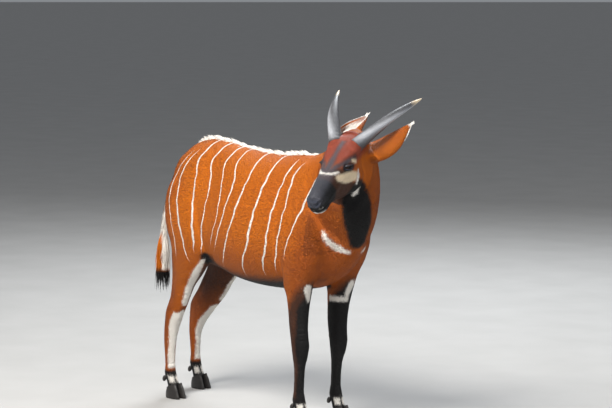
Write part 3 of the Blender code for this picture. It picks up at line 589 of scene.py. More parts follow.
def flesh_parts():
    parts = [loft(TRUNK_ROWS, 48), loft(NECK_ROWS, 40), loft(tail_rows(), 24)]
    parts.append(loft(SKULL_ROWS, 40, 0.008, in_head=True))
    parts += [loft(leg_rows(name), 28, 0.010) for name in LEGS]
    for centre, radii, yaw in SWELLINGS.values():
        for side in SIDES:
            place = np.array(centre) * (1, side, 1)
            parts.append(ellipsoid(place, radii, -yaw * side, in_head=True))
    parts += [ear(word) for word in EARS]
    return parts


def ear_nearness(points):
    """1 on the free part of either ear, falling to 0 over its root."""
    local = to_head(points)
    share = np.zeros(len(points))
    for word in EARS:
        root, along, back, across = ear_axes(word)
        off = local - root
        run = off @ along / EAR_LENGTH
        side = np.linalg.norm(off - (off @ along)[:, None] * along, axis=1)
        share = np.maximum(share, between(0.10, 0.24, run) * between(0.11, 0.085, side))
    return share


skin = new_object("skin", *together(flesh_parts()))
remesh = skin.modifiers.new("fuse", "REMESH")
remesh.mode, remesh.voxel_size = "VOXEL", VOXEL
bake_modifiers(skin)
keep_largest(skin)
on_head = between(0.36, 0.28, head_distance(read(skin)))
ear_share = ear_nearness(read(skin))
ease(skin, 26, (1 - on_head) * (1 - ear_share))
ease(skin, 7, np.maximum(0.35, 1 - ear_share) * np.maximum(0.5, on_head))
print("skin", len(skin.data.vertices), "points")

# %% [markdown]
# ## Muscle, bone and fold
# Under short fur the body still reads as bone and muscle: the shoulder blade, the triceps and the
# groove behind it, the hip bone, the hollow of the flank, the hamstrings and the hock's tendon. Each is
# a soft ridge or groove along a short line, and every point near the line moves out or in.

# %% Sculpt the body
# Line on one side of the body, reach and height of each relief
BODY_RELIEF = (
    (((0.285, 0.15, 1.020), (0.262, 0.19, 0.860), (0.245, 0.18, 0.690)), 0.024, -0.0075),
    (((0.350, 0.08, 1.100), (0.425, 0.13, 0.900), (0.470, 0.13, 0.800)), 0.030, 0.0060),
    (((0.310, 0.17, 0.860), (0.325, 0.17, 0.740)), 0.060, 0.0060),
    (((0.480, 0.13, 0.800), (0.470, 0.13, 0.760)), 0.040, 0.0060),
    (((0.385, 0.15, 0.760), (0.330, 0.16, 0.660)), 0.020, -0.0040),
    (((-0.300, 0.120, 1.085), (-0.330, 0.145, 1.040)), 0.034, 0.0090),
    (((-0.500, 0.080, 1.040), (-0.520, 0.090, 0.990)), 0.030, 0.0060),
    (((-0.225, 0.150, 1.030), (-0.200, 0.170, 0.960)), 0.055, -0.0085),
    (((-0.360, 0.155, 0.960), (-0.330, 0.165, 0.820)), 0.070, 0.0060),
    (((-0.455, 0.140, 1.000), (-0.490, 0.140, 0.820), (-0.490, 0.135, 0.660)), 0.020, -0.0050),
    (((-0.225, 0.165, 0.800), (-0.262, 0.155, 0.650)), 0.024, 0.0060),
    (((-0.330, 0.150, 0.740), (-0.300, 0.150, 0.680)), 0.040, 0.0050),
    (((0.600, 0.075, 1.060), (0.565, 0.080, 0.900), (0.525, 0.090, 0.770)), 0.030, -0.0028),
    (((0.440, 0.085, 1.060), (0.520, 0.080, 0.880)), 0.035, 0.0035),
)
# The same for skin folds on the right of the neck, inside its bend
NECK_FOLDS = (
    (((0.586, -0.090, 1.200), (0.612, -0.130, 1.090)), 0.0075, -0.0045),
    (((0.560, -0.085, 1.190), (0.585, -0.115, 1.070)), 0.0085, -0.0036),
    (((0.532, -0.080, 1.180), (0.556, -0.105, 1.060)), 0.0100, -0.0026),
)
RIB_SPACING, RIB_HEIGHT = 0.043, 0.0004


def relief(points, lines):
    height = np.zeros(len(points))
    for line, reach, rise in lines:
        away = near(points, line)
        height += rise * np.exp(-(away / reach) ** 2)
    return height


def ribs(points):
    wave = np.cos((points[:, 0] + 0.35 * (points[:, 2] - 0.8)) * 2 * math.pi / RIB_SPACING)
    share = between(-0.16, -0.06, points[:, 0]) * between(0.24, 0.16, points[:, 0])
    return RIB_HEIGHT * wave * share * between(0.62, 0.70, points[:, 2]) * between(1.02, 0.92, points[:, 2])


def leg_relief(points):
    """The groove before the tendon of each cannon, the two bones of the knee and the hollow of each hock."""
    height = np.zeros(len(points))
    for name in LEGS:
        front, back, width, y = leg_line(name, points[:, 2])
        on_leg = (np.abs(points[:, 1] - y) < 0.05) & (points[:, 2] < 0.60)
        on_leg &= (points[:, 0] < front + 0.02) & (points[:, 0] > back - 0.02)
        share = (points[:, 0] - back) / (front - back)
        tendon = between(0.10, 0.16, points[:, 2]) * between(0.33, 0.26, points[:, 2])
        height -= on_leg * tendon * 0.0034 * np.exp(-((share - 0.36) / 0.10) ** 2)
        if name.startswith("hind"):
            hollow = between(0.39, 0.44, points[:, 2]) * between(0.60, 0.52, points[:, 2])
            height -= on_leg * hollow * 0.0065 * np.exp(-((share - 0.27) / 0.14) ** 2)
        else:
            knee = np.exp(-((points[:, 2] - 0.338) / 0.030) ** 2)
            height += on_leg * knee * 0.0028 * between(0.55, 0.9, share)
            elbow = np.exp(-((points[:, 2] - 0.580) / 0.030) ** 2)
            height += on_leg * elbow * 0.0050 * between(0.35, 0.1, share)
    return height


def swell(obj, height):
    write(obj, read(obj) + read_normals(obj) * height[:, None])


points = read(skin)
on_body = 1 - between(0.33, 0.25, head_distance(points))
raised = relief(both_sides(points), BODY_RELIEF) + ribs(points) + leg_relief(points)
raised += relief(points, NECK_FOLDS)
swell(skin, raised * on_body)
ease(skin, 3, on_body)
print("relief", round(float(raised.min()), 4), "to", round(float(raised.max()), 4))

# %% [markdown]
# ## Fewer triangles where little happens
# The voxel skin is even, but a flank needs far fewer triangles than a face. Decimate takes them out of
# the body and leaves the head alone, and then the face is divided again round the eyes, nose and mouth,
# so that lids and nostrils have enough points to be crisp. Decimate leaves wide triangles on smooth parts,
# too few for the stripes, so long edges are split and the new points laid back on the first surface.

# %% Thin the body and divide the face
THINNED_TRIANGLES = 72_000
LONGEST_EDGE, SPLIT_ROUNDS = 0.0142, 5
# Head-frame balls in which the face is divided: centre, radius and times
FINE_SPOTS = (
    [(EYE_AT * (1, side, 1), 0.034, 2) for side in SIDES]
    + [(np.array((0.330, side * 0.020, -0.055)), 0.020, 2) for side in SIDES]
    + [(np.array((0.295, side * 0.028, -0.092)), 0.034, 1) for side in SIDES]
)


def thin_body(obj):
    points = read(obj)
    away = head_distance(points)
    free = 1 - np.maximum(0.85 * between(0.22, 0.17, away), 0.55 * ear_nearness(points))
    group = obj.vertex_groups.new(name="body")
    for level in np.unique(np.round(free, 1)):
        members = np.nonzero(np.round(free, 1) == level)[0]
        group.add(members.tolist(), float(level), "REPLACE")
    thin = obj.modifiers.new("thin", "DECIMATE")
    thin.vertex_group, thin.use_collapse_triangulate = "body", True
    thin.ratio = THINNED_TRIANGLES / triangle_count(obj)
    bake_modifiers(obj)
    obj.vertex_groups.clear()


def split_long_edges(obj, surface):
    """Split every edge longer than the limit and lay the new points on the surface kept from before."""
    with editing(obj) as mesh:
        for _ in range(SPLIT_ROUNDS):
            known = len(mesh.verts)
            split(mesh, [e for e in mesh.edges if e.calc_length() > LONGEST_EDGE])
            mesh.verts.ensure_lookup_table()
            for vert in mesh.verts[known:]:
                vert.co = surface.find_nearest(vert.co)[0]


def split(mesh, edges):
    bmesh.ops.subdivide_edges(mesh, edges=edges, cuts=1, use_grid_fill=True)
    bmesh.ops.triangulate(mesh, faces=mesh.faces)


def divide_spots(obj, spots):
    with editing(obj) as mesh:
        bmesh.ops.triangulate(mesh, faces=mesh.faces)
        for turn in range(max(times for _, _, times in spots)):
            local = to_head(np.array([v.co for v in mesh.verts]))
            inside = np.zeros(len(local), bool)
            for centre, radius, times in spots:
                if turn < times:
                    inside |= np.linalg.norm(local - centre, axis=1) < radius * (1 - 0.15 * turn)
            mesh.verts.index_update()
            split(mesh, [e for e in mesh.edges if inside[e.verts[0].index] and inside[e.verts[1].index]])


fine = bmesh.new()
fine.from_mesh(skin.data)
fine_surface = BVHTree.FromBMesh(fine)
fine.free()
thin_body(skin)
print("thinned to", triangle_count(skin))
split_long_edges(skin, fine_surface)
ease(skin, 2, between(0.25, 0.32, head_distance(read(skin))))
print("split to", triangle_count(skin))
divide_spots(skin, FINE_SPOTS)
print("divided to", triangle_count(skin))

# %% [markdown]
# ## The face
# The mouth, the nostrils, the groove under the eye and the hollows of the cheek are carved as lines in
# the head's frame. The lids follow the eyeball: outside an almond-shaped opening the skin is held a
# lid's thickness over the ball, and inside the opening it drops behind it, which leaves a sharp rim.

# %% Carve the face and open the lids
FACE_RELIEF = (
    (((0.344, 0.000, -0.0810), (0.333, 0.020, -0.0840), (0.314, 0.032, -0.0870), (0.287, 0.037, -0.0905),
      (0.260, 0.040, -0.0930)), 0.0034, -0.0050),
    (((0.343, 0.0120, -0.0590), (0.340, 0.0190, -0.0545), (0.332, 0.0240, -0.0485), (0.323, 0.0265, -0.0480)),
     0.0044, -0.0105),
    (((0.332, 0.0245, -0.0370), (0.319, 0.0305, -0.0420), (0.317, 0.0320, -0.0560)), 0.0060, 0.0024),
    (((0.348, 0.000, -0.0610), (0.343, 0.000, -0.0780)), 0.0026, -0.0020),
    (((0.052, 0.062, -0.052), (0.020, 0.066, -0.060)), 0.0160, -0.0030),
    (((0.140, 0.056, -0.112), (0.186, 0.048, -0.098)), 0.0200, -0.0040),
    (((0.150, 0.049, -0.056), (0.215, 0.040, -0.070), (0.262, 0.036, -0.078)), 0.0100, 0.0022),
    (((0.070, 0.060, -0.088), (0.108, 0.058, -0.090), (0.150, 0.050, -0.080)), 0.0110, 0.0024),
    (((0.040, 0.060, -0.130), (0.055, 0.052, -0.175)), 0.0120, 0.0026),
)
LID_OPENING = (0.0232, 0.0084)
LID_THICKNESS, BEHIND_BALL = 0.0022, 0.0045
EYE_LOOK = np.array((0.42, 0.90, 0.08)) / np.linalg.norm((0.42, 0.90, 0.08))
EYE_LINE = np.array((1.0, -0.5, 0.39))


def eye_axes(side):
    """Outward, forward and upward axes of an eye, in the head's frame."""
    out = EYE_LOOK * (1, side, 1)
    forward = EYE_LINE * (1, side, 1)
    forward = forward - out * (forward @ out)
    forward /= np.linalg.norm(forward)
    return out, forward, np.cross(out, forward) * -side


def almond(f, u):
    """1 on the rim of the lids' opening, less inside, with a long inner corner and a rounder upper lid."""
    f = f / LID_OPENING[0]
    reach = np.where(f > 0, 1.22, 1.0)
    open_here = np.sqrt(np.clip(1 - (np.abs(f) / reach) ** 2.2, 0.0004, 1))
    half = np.where(u > 0, LID_OPENING[1] * 1.06, LID_OPENING[1] * 0.84)
    return np.abs(u) / (half * open_here)


def fit_lids(local):
    for side in SIDES:
        centre = EYE_AT * (1, side, 1)
        out, forward, up = eye_axes(side)
        off = local - centre
        distance = np.linalg.norm(off, axis=1)
        o, f, u = off @ out, off @ forward, off @ up
        facing = o > 0.25 * EYE_RADIUS
        rim = almond(f, u)
        inside = facing & (rim < 1) & (distance < EYE_RADIUS * 2)
        lid = EYE_RADIUS + LID_THICKNESS + 0.0012 * np.exp(-((rim - 1.25) / 0.25) ** 2)
        crease = 0.0016 * np.exp(-((rim - 2.05) / 0.20) ** 2) * (u > 0)
        close = facing & ~inside & (distance < EYE_RADIUS + 0.020)
        hold = between(3.4, 2.0, rim) * close
        target = np.where(inside, EYE_RADIUS - BEHIND_BALL, distance + (lid - distance) * hold)
        target = np.where(close, np.maximum(target, EYE_RADIUS + LID_THICKNESS) - crease, target)
        moved = inside | close
        local[moved] = centre + off[moved] * (target[moved] / distance[moved])[:, None]
    return local


def ease_face(obj, steps, strength):
    local = to_head(read(obj))
    fine = np.zeros(len(local))
    for centre, radius, _ in FINE_SPOTS:
        fine = np.maximum(fine, between(radius, radius * 0.8, np.linalg.norm(local - centre, axis=1)))
    ease(obj, steps, fine * strength)


ease_face(skin, 4, 1.0)
carved = relief(both_sides(to_head(read(skin))), FACE_RELIEF)
carved *= between(0.34, 0.26, head_distance(read(skin)))
swell(skin, carved)
ease_face(skin, 1, 0.5)
write(skin, from_head(fit_lids(to_head(read(skin)))))
print("face carved", round(float(carved.min()), 4))

# %% [markdown]
# ## Room for the fur
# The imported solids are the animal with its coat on. The skin lies inside them by the depth of the fur,
# which is deepest on the body, thin on the legs and thinner still on the face.

# %% Draw the skin in by the coat's depth
BODY_FUR, LEG_FUR, FACE_FUR = 0.0022, 0.0014, 0.0007


def fur_depth(points):
    face = between(0.30, 0.22, head_distance(points, (0.13, 0, -0.08)))
    leg = between(0.60, 0.45, points[:, 2]) * between(-0.60, -0.56, points[:, 0] + (points[:, 2] < 0.62))
    depth = BODY_FUR + (LEG_FUR - BODY_FUR) * leg
    depth = depth + (FACE_FUR - depth) * face
    near_lids = least(*(head_distance(points, EYE_AT * (1, side, 1)) for side in SIDES))
    return depth * (1 - ear_nearness(points)) * between(0.026, 0.034, near_lids)


swell(skin, -fur_depth(read(skin)))
skin.data.shade_smooth()
print("skin has", triangle_count(skin), "triangles")

# %% [markdown]
# ## Where each colour lies
# A bongo is rufous with about a dozen thin white stripes, a white crescent on the chest, a black throat
# and belly, legs that are dark in front with white patches, and a face of brick red, black, cream and
# white. Some fields are painted light: grey is a painted sky reflection on the dark top of the face, bare
# skin is lifted to blue-grey as a painted reflection on the wet nose, and the brown band along the
# underside of the trunk is painted shade. Each marking is a function of place. It gives a number that is
# positive inside the marking and grows by one for every few millimetres, so skin and fur can both read
# it, and a material can blur or roughen its edge.

# %% Stripes
EDGE = 0.004      # metres over which a marking's edge number grows by one
STRIPE_LEVELS = (1.12, 1.05, 0.98, 0.90, 0.82, 0.74, 0.66, 0.60)
# Each stripe's x at those heights, its lower and upper end, and its width
STRIPES = (
    ((-0.370, -0.430, -0.485, -0.488, -0.451, -0.427, -0.422, -0.424), 0.600, 1.090, 0.0070),
    ((-0.340, -0.395, -0.422, -0.410, -0.384, -0.362, -0.351, -0.325), 0.600, 1.100, 0.0105),
    ((-0.303, -0.316, -0.299, -0.298, -0.294, -0.292, -0.298, -0.300), 0.655, 1.300, 0.0095),
    ((-0.215, -0.247, -0.207, -0.202, -0.223, -0.250, -0.272, -0.285), 0.655, 1.300, 0.0095),
    ((-0.135, -0.145, -0.110, -0.098, -0.111, -0.163, -0.235, -0.275), 0.685, 1.300, 0.0075),
    ((-0.085, -0.070, -0.024, -0.045, -0.073, -0.120, -0.186, -0.235), 0.655, 1.300, 0.0080),
    ((0.030, 0.047, 0.048, 0.027, 0.001, -0.043, -0.095, -0.165), 0.585, 1.300, 0.0095),
    ((0.148, 0.156, 0.153, 0.142, 0.124, 0.105, 0.049, 0.015), 0.575, 1.300, 0.0115),
    ((0.268, 0.252, 0.246, 0.236, 0.222, 0.208, 0.170, 0.148), 0.590, 1.095, 0.0090),
    ((0.335, 0.286, 0.291, 0.299, 0.286, 0.258, 0.230, 0.220), 0.620, 1.090, 0.0085),
    ((0.490, 0.455, 0.410, 0.385, 0.360, 0.329, 0.300, 0.290), 0.680, 1.060, 0.0100),
)
STRIPE_TAPER, LEFT_STRAY, STRIPE_CLEARANCE = 0.09, 0.014, 0.010
FINE_LEVELS = np.linspace(0.54, 1.18, 129)


def smooth_line(xs):
    """A stripe's x at close levels, with the corners of its table rounded off."""
    weights = np.hanning(19)[1:-1]
    line = np.interp(FINE_LEVELS, STRIPE_LEVELS[::-1], xs[::-1])
    return np.convolve(np.pad(line, 8, mode="edge"), weights / weights.sum(), "valid")


STRIPE_LINES = [smooth_line(xs) for xs, _, _, _ in STRIPES]


def stripe_fields(points):
    """Place counts stripes from the rear, with a whole number on each one, and reach is half its width."""
    z, left = points[:, 2], points[:, 1] > 0
    lines, reaches = [], []
    for i, (_, low, high, width) in enumerate(STRIPES):
        stray = LEFT_STRAY * (math.sin(2.4 * i + 1) + 0.6 * np.sin(9 * z + 1.7 * i))
        lines.append(np.interp(z, FINE_LEVELS, STRIPE_LINES[i]) + stray * left)
        ends = between(low - 0.01, low + STRIPE_TAPER, z) * between(high + 0.01, high - 0.5 * STRIPE_TAPER, z)
        pulse = 1 + 0.28 * np.sin(23 * z + 2.1 * i) * np.sin(9 * z + i)
        reaches.append(0.5 * width * pulse * ends - 0.004 * (ends < 0.02))
    for behind, ahead in zip(lines[:-1], lines[1:]):
        np.maximum(ahead, behind + STRIPE_CLEARANCE, out=ahead)
    lines = np.array(lines)
    gaps = np.gradient(lines, axis=0)
    here = np.array(reaches) / gaps
    x = points[:, 0] + 0.0016 * np.sin(60 * z + 40 * points[:, 1]) + 0.0012 * np.sin(131 * z)
    above = (x[None] > lines).sum(axis=0)
    low = np.clip(above - 1, 0, len(STRIPES) - 2)
    index = np.arange(len(points))
    share = np.clip((x - lines[low, index]) / (lines[low + 1, index] - lines[low, index]), -0.5, 1.5)
    reach = here[low, index] + (here[low + 1, index] - here[low, index]) * np.clip(share, 0, 1)
    on_trunk = (z > 0.55) & (np.abs(points[:, 0]) < 0.56)
    return low + 1 + share, np.where(on_trunk, reach, -0.5)


# %% Markings of the body and the legs
CHEST_CRESCENT = ((0.492, 0.118, 0.814), (0.500, 0.112, 0.792), (0.514, 0.102, 0.771), (0.532, 0.086, 0.754),
                  (0.552, 0.062, 0.740), (0.568, 0.034, 0.728))
CRESCENT_RADII = (0.005, 0.010, 0.0135, 0.013, 0.011, 0.007)
THROAT = ((0.634, -0.108, 1.045), (0.648, -0.075, 0.985), (0.638, -0.060, 0.925), (0.625, -0.040, 0.860),
          (0.595, -0.018, 0.780))
THROAT_RADII = (0.040, 0.056, 0.064, 0.060, 0.036)
FLANK_FOLD = ((-0.262, 0.135, 0.640), (-0.276, 0.100, 0.622))
THIGH_BAND = ((-0.283, 0.128, 0.622), (-0.322, 0.129, 0.573), (-0.394, 0.116, 0.486), (-0.430, 0.112, 0.422))
THIGH_RADII = (0.010, 0.017, 0.018, 0.014)
FORE_PATCH = ((0.404, 0.118, 0.575), (0.394, 0.100, 0.522))


def strip(points, line, radii):
    """How far inside a strip of changing radius each point lies, in edge widths."""
    radii = np.broadcast_to(radii, len(line))
    return most(*((first + (last - first) * t - away) / EDGE
                  for (t, away), first, last in zip(pieces_of(points, line), radii[:-1], radii[1:])))


TRUNK_X, TRUNK_TOP, TRUNK_BOTTOM = np.array(TRUNK).T[:3]


def body_marks(points, normals):
    """White, black and deep red on the trunk and the neck, and brown painted shade under the trunk."""
    x, y, z = points.T
    sided = both_sides(points)
    top, bottom = np.interp(x, TRUNK_X, TRUNK_TOP), np.interp(x, TRUNK_X, TRUNK_BOTTOM)
    under_crest = (np.abs(x + 0.06) < 0.40) & (z > top - 0.02)
    white = most(strip(sided, CHEST_CRESCENT, CRESCENT_RADII),
                 np.where(under_crest, (0.007 - np.abs(y)) / EDGE, -9))
    belly = (bottom + 0.028 + 0.008 * np.sin(7 * x) - 0.06 * between(0.30, 0.42, x) - z) / EDGE
    under = least(np.clip((-0.12 - normals[:, 2]) * 30, -9, 9), (z - bottom + 0.015) / EDGE,
                  least(0.10 + 0.5 * between(0.24, 0.16, x) - np.abs(y), x + 0.27, 0.33 - x) / EDGE)
    black = most(strip(points, THROAT, THROAT_RADII), strip(sided, FLANK_FOLD, 0.022),
                 least(np.where(np.abs(x) < 0.50, belly, -9), under))
    # Brown in a band just above the black belly, only on skin that faces down: painted shade under the trunk.
    brown = least(np.where(np.abs(x) < 0.52, (belly * EDGE + 0.018) / EDGE * 0.5, -9), under + 1)
    deep = between(0.30, 0.46, x) * between(1.06, 0.80, z) + 0.6 * between(0.80, 0.62, z)
    deep += 0.5 * between(-0.42, -0.52, x) + 0.5 * between(0.46, 0.56, x) * (z > 0.9)
    return white, black, brown, np.clip(deep, 0, 1)


def hind_marks(z, sided, share, outside, depth, wave):
    """A white band down the inner thigh and the front of the cannon, and a brown inner side."""
    cannon_top = 0.366 + 0.02 * share + 0.006 * np.sin(5 * outside + 2)
    cannon = least((share - 0.79 - wave + 0.09 * outside) * depth, cannon_top - z, z - 0.128) / EDGE
    white = most(strip(sided, THIGH_BAND, THIGH_RADII), cannon)
    brown = least(least(-outside * 0.03 + 0.006, (z - 0.41) * 0.10, 0.66 - z) / EDGE, 2)
    return white, -9.0, brown


def fore_marks(z, sided, share, outside, depth, wave, side, width):
    """A black front, brown behind it, white patches behind and inside, and a band on the left leg."""
    edge = np.interp(z, (0.20, 0.40, 0.48, 0.55, 0.63), (0.55, 0.60, 0.74, 0.90, 1.20)) + wave
    if side > 0:
        edge = edge - 0.35 * between(0.56, 0.48, z)
    black = least((share - edge - 0.12 * outside) * depth, 0.590 - z) / EDGE
    fade = np.interp(z, (0.36, 0.44, 0.50, 0.60), (-0.6, -0.1, 0.35, 0.95))
    brown = least(least((share - fade) * depth, 0.600 - z) / EDGE * 0.4, 3)
    rear = most(least(z - 0.47, 0.575 - z), least(z - 0.285, 0.375 - z)) / EDGE
    white = most(least(rear * 0.5, (0.09 - share) * depth / EDGE), strip(sided, FORE_PATCH, (0.018, 0.012)))
    if side > 0:
        band = least(0.011 - np.abs(z - 0.512), (share - 0.35) * depth, (0.1 - outside) * width) / EDGE
        white = most(white, band)
    return white, black, brown


def leg_marks(points):
    """White, black and brown on the four legs, from where a point lies between the front and the back."""
    found = [np.full(len(points), -9.0) for _ in range(3)]
    z = points[:, 2]
    for name, (table, side, step) in LEGS.items():
        front, back, width, y = leg_line(name, z)
        near_leg = (z < 0.66) & (np.abs(points[:, 1] - y) < 0.075)
        near_leg &= (points[:, 0] < front + 0.05) & (points[:, 0] > back - 0.05)
        depth = front - back
        share = (points[:, 0] - back) / depth
        outside = (points[:, 1] - y) * side / width
        sided = both_sides(points)
        sided[:, 0] -= step_at(z, step, FRONT_STEP)
        wave = 0.05 * np.sin(40 * z + points[:, 1] * 60)
        spots = least(0.014 - np.abs(z - 0.080), (share - 0.66 + wave) * depth,
                      (np.abs(outside) - 0.22) * width) / EDGE
        given = (z, sided, share, outside, depth, wave)
        own = hind_marks(*given) if name.startswith("hind") else fore_marks(*given, side, width)
        own = (most(own[0], spots), most(own[1], (0.118 - z) / EDGE), own[2])
        found = [np.where(near_leg, most(field, value), field) for field, value in zip(found, own)]
    return found


def tail_marks(points, normals):
    """The tail is rufous outside and pale towards its inner side, and black at its end."""
    x, y, z = points.T
    centre_y = np.interp(z, TAIL_PATH[::-1, 2], TAIL_PATH[::-1, 1])
    on_tail = (x < -0.585) & (z > 0.40) & (z < 0.98) & (np.abs(y - centre_y) < 0.05)
    inner = normals[:, 0] * 0.75 - normals[:, 1] * 0.65 - 0.25 - 0.9 * between(0.80, 0.95, z)
    white = np.where(on_tail, inner * 6, -9)
    black = np.where(on_tail, (0.560 - z) / EDGE, -9)
    return white, black


# %% Markings of the head
BAR = ((0.201, 0.000, -0.004), (0.196, 0.022, -0.010), (0.182, 0.034, -0.016), (0.166, 0.041, -0.022))
CREAM_PATCH = ((0.182, 0.043, -0.040), (0.150, 0.052, -0.062), (0.120, 0.060, -0.080), (0.092, 0.064, -0.096))
CREAM_RADII = (0.013, 0.021, 0.025, 0.020)
OVER_EYE = ((0.160, 0.024, -0.006), (0.128, 0.046, -0.010), (0.092, 0.060, -0.014), (0.058, 0.066, -0.026))
BROW_PATCH = ((0.062, 0.066, -0.044), (0.082, 0.064, -0.026))
CHEEK_SPOT = ((0.062, 0.066, -0.088), (0.070, 0.066, -0.112), (0.088, 0.062, -0.134))
JAW_SPOT = ((0.060, 0.046, -0.180), (0.070, 0.036, -0.196), (0.082, 0.028, -0.204))
NOSE_PAD = ((0.344, -0.016, -0.052), (0.344, 0.016, -0.052))
CHIN = ((0.335, 0.000, -0.103), (0.300, 0.016, -0.116))
LIP = ((0.334, 0.022, -0.079), (0.318, 0.031, -0.082))


def face_marks(points):
    """Every field of the face, from the head's own frame."""
    local = to_head(points)
    sided = both_sides(local)
    x, y, z = sided.T
    white = most(strip(sided, BAR, (0.0044, 0.0048, 0.0050, 0.0030)),
                 strip(sided, CHEEK_SPOT, (0.0055, 0.0095, 0.0060)),
                 strip(sided, JAW_SPOT, (0.0050, 0.0090, 0.0050)),
                 strip(sided, CHIN, 0.0110), strip(sided, LIP, 0.0022) - 0.6)
    cream = most(strip(sided, CREAM_PATCH, CREAM_RADII), strip(sided, BROW_PATCH, 0.0070))
    over_eye = strip(sided, OVER_EYE, 0.011) * EDGE
    on_cheek = 0.100 + 0.25 * np.maximum(z + 0.12, 0) - 0.42 * np.maximum(-0.12 - z, 0)
    front = most(x - np.where(z > -0.06, 0.176 - 0.75 * y, on_cheek), over_eye)
    midline = least(0.0085 + 0.10 * np.maximum(x - 0.09, 0) - y, x - 0.012, z + 0.06)
    eye = np.linalg.norm((sided - EYE_AT - (0.004, 0, 0)) / (1.35, 1, 0.92), axis=1)
    brown = most(front, midline, least(0.0315 - eye, 0.20 - x)) / EDGE
    black = most(x - 0.218 - 0.2 * np.abs(z + 0.07), 0.0275 - eye) / EDGE
    # Grey on top of the bridge, the forehead's midline and the brow over the eye: a painted sky reflection on
    # the dark hair.
    sky_sheen_top = least(0.032 - y, z + 0.062) / EDGE
    grey = most(least(most(front, midline) / EDGE, sky_sheen_top), over_eye / EDGE - 1)
    out, forward, up = eye_axes(1)
    off = sided - EYE_AT
    lid_rim = np.where(off @ out > 0, (1.30 - almond(off @ forward, off @ up)) * 4, -9)
    bare = most(strip(local, NOSE_PAD, 0.0195), np.where(eye < 0.032, lid_rim, -9))
    brick = between(0.20, 0.10, x) * between(-0.075, -0.035, z)
    return white, black, brown, cream, grey, bare, brick


def ear_marks(points, normals):
    """White on the rim, the tip and the inner side, and bare pink-grey skin deep in the cup."""
    local, facing = to_head(points), normals @ HEAD_TURN
    white, bare = np.full(len(points), -9.0), np.full(len(points), -9.0)
    for word in EARS:
        root, along, back, across = ear_axes(word)
        off = local - root
        t = np.clip(off @ along / EAR_LENGTH, 0.001, 1)
        width, depth, wrap, stretch = ear_arc(t)
        cross, deep = off @ across, off @ back + EAR_BOW * np.sin(math.pi * t)
        turn = np.abs(np.arctan2(cross / (width * stretch), deep / depth))
        on_ear = (ear_nearness(points) > 0.5) & by_ear(local, word)
        on_ear &= (off @ along > 0.12 * EAR_LENGTH) & (np.hypot(off @ across, off @ back) < 0.075)
        radial = facing @ across * cross + facing @ back * deep
        inner = -radial / np.maximum(np.hypot(cross, deep), 1e-4) * 6
        rim = least((turn - wrap) * width / EDGE + 0.5, (t - (0.14 if word == "right" else 0.72)) * 25)
        tip = (t - 0.94) * EAR_LENGTH / EDGE
        middle_hair = (0.55 - turn / wrap) * 6 + 1.2 * np.sin(turn * 9 + t * 14)
        hair = least(inner, middle_hair, (0.72 - t) * 12, (t - 0.28) * 20)
        cup = least(inner, (0.70 - turn / wrap) * 10, (t - 0.12) * 25)
        white = np.where(on_ear, most(white, rim, tip, hair), white)
        bare = np.where(on_ear, most(bare, cup), bare)
    return white, bare


FIELDS = ("white", "black", "brown", "grey", "cream", "bare", "inner", "deep", "brick", "stripe_place",
          "stripe_reach")


def marks(points, normals):
    """All of the fields at each point, by name."""
    local = to_head(points)
    head = (np.abs(local[:, 1]) < 0.095) & (np.abs(local[:, 0] - 0.13) < 0.24) & (local[:, 2] > -0.235)
    head &= (local[:, 2] < 0.06) & (local[:, 0] > -0.02 - 0.5 * (local[:, 2] + 0.1))
    low = np.full(len(points), -9.0)
    f_white, f_black, f_brown, f_cream, f_grey_sky_sheen, f_bare, f_brick = face_marks(points)
    b_white, b_black, b_under_shade, deep = body_marks(points, normals)
    l_white, l_black, l_brown = leg_marks(points)
    t_white, t_black = tail_marks(points, normals)
    e_white, e_bare = ear_marks(points, normals)
    place, reach = stripe_fields(points)
    found = {
        "white": np.where(head, f_white, most(b_white, l_white, t_white)),
        "black": np.where(head, most(f_black, strip(points, THROAT, THROAT_RADII)),
                          most(b_black, l_black, t_black)),
        "brown": np.where(head, f_brown, most(b_under_shade, l_brown)),
        "grey": np.where(head, f_grey_sky_sheen, low),
        "cream": np.where(head, f_cream, low),
        "bare": np.where(head, f_bare, low),
        "inner": e_bare,
        "deep": np.where(head, 0.45, deep),
        "brick": np.where(head, f_brick, 0.0),
        "stripe_place": place,
        "stripe_reach": np.where(head | (points[:, 2] < 0.57), -0.5, reach),
    }
    ears = ear_nearness(points) > 0.5
    found["white"] = np.where(ears, e_white, found["white"])
    for name in ("black", "brown", "grey", "cream"):
        found[name] = np.where(ears, -9.0, found[name])
    return found


def put_fields(obj, fields):
    for name, values in fields.items():
        layer = obj.data.attributes.new(name, "FLOAT", "POINT")
        layer.data.foreach_set("value", np.clip(values, -20, 20).astype(np.float32))


put_fields(skin, marks(read(skin), read_normals(skin)))
print("fields on the skin:", ", ".join(FIELDS))

# %% [markdown]
# ## The coat's colour
# One material serves the skin and every tuft of fur. It starts from rufous that changes slowly over the
# body, and lays the markings, the painted sky reflection and the painted shade over it in order. Noise
# shifts each marking's edge a little, as the ends of hairs do. Fine stretched noise is the bump of flat
# hair, and a faint sheen catches the light.

# %% Build the coat material
# grey is a painted sky reflection on the dark top of the face, and bare is the dark skin of the nose and lids
# lifted to blue-grey: partly a painted reflection of the sky on the wet nose.
COAT_COLOURS = {
    "rufous": (0.440, 0.092, 0.002), "rufous light": (0.620, 0.170, 0.004), "deep": (0.250, 0.048, 0.003),
    "brick": (0.260, 0.050, 0.026), "brown": (0.062, 0.022, 0.011), "black": (0.005, 0.0045, 0.005),
    "grey": (0.090, 0.094, 0.120), "cream": (0.840, 0.690, 0.490), "white": (0.860, 0.830, 0.780),
    "bare": (0.045, 0.050, 0.070), "inner ear": (0.420, 0.240, 0.190),
}


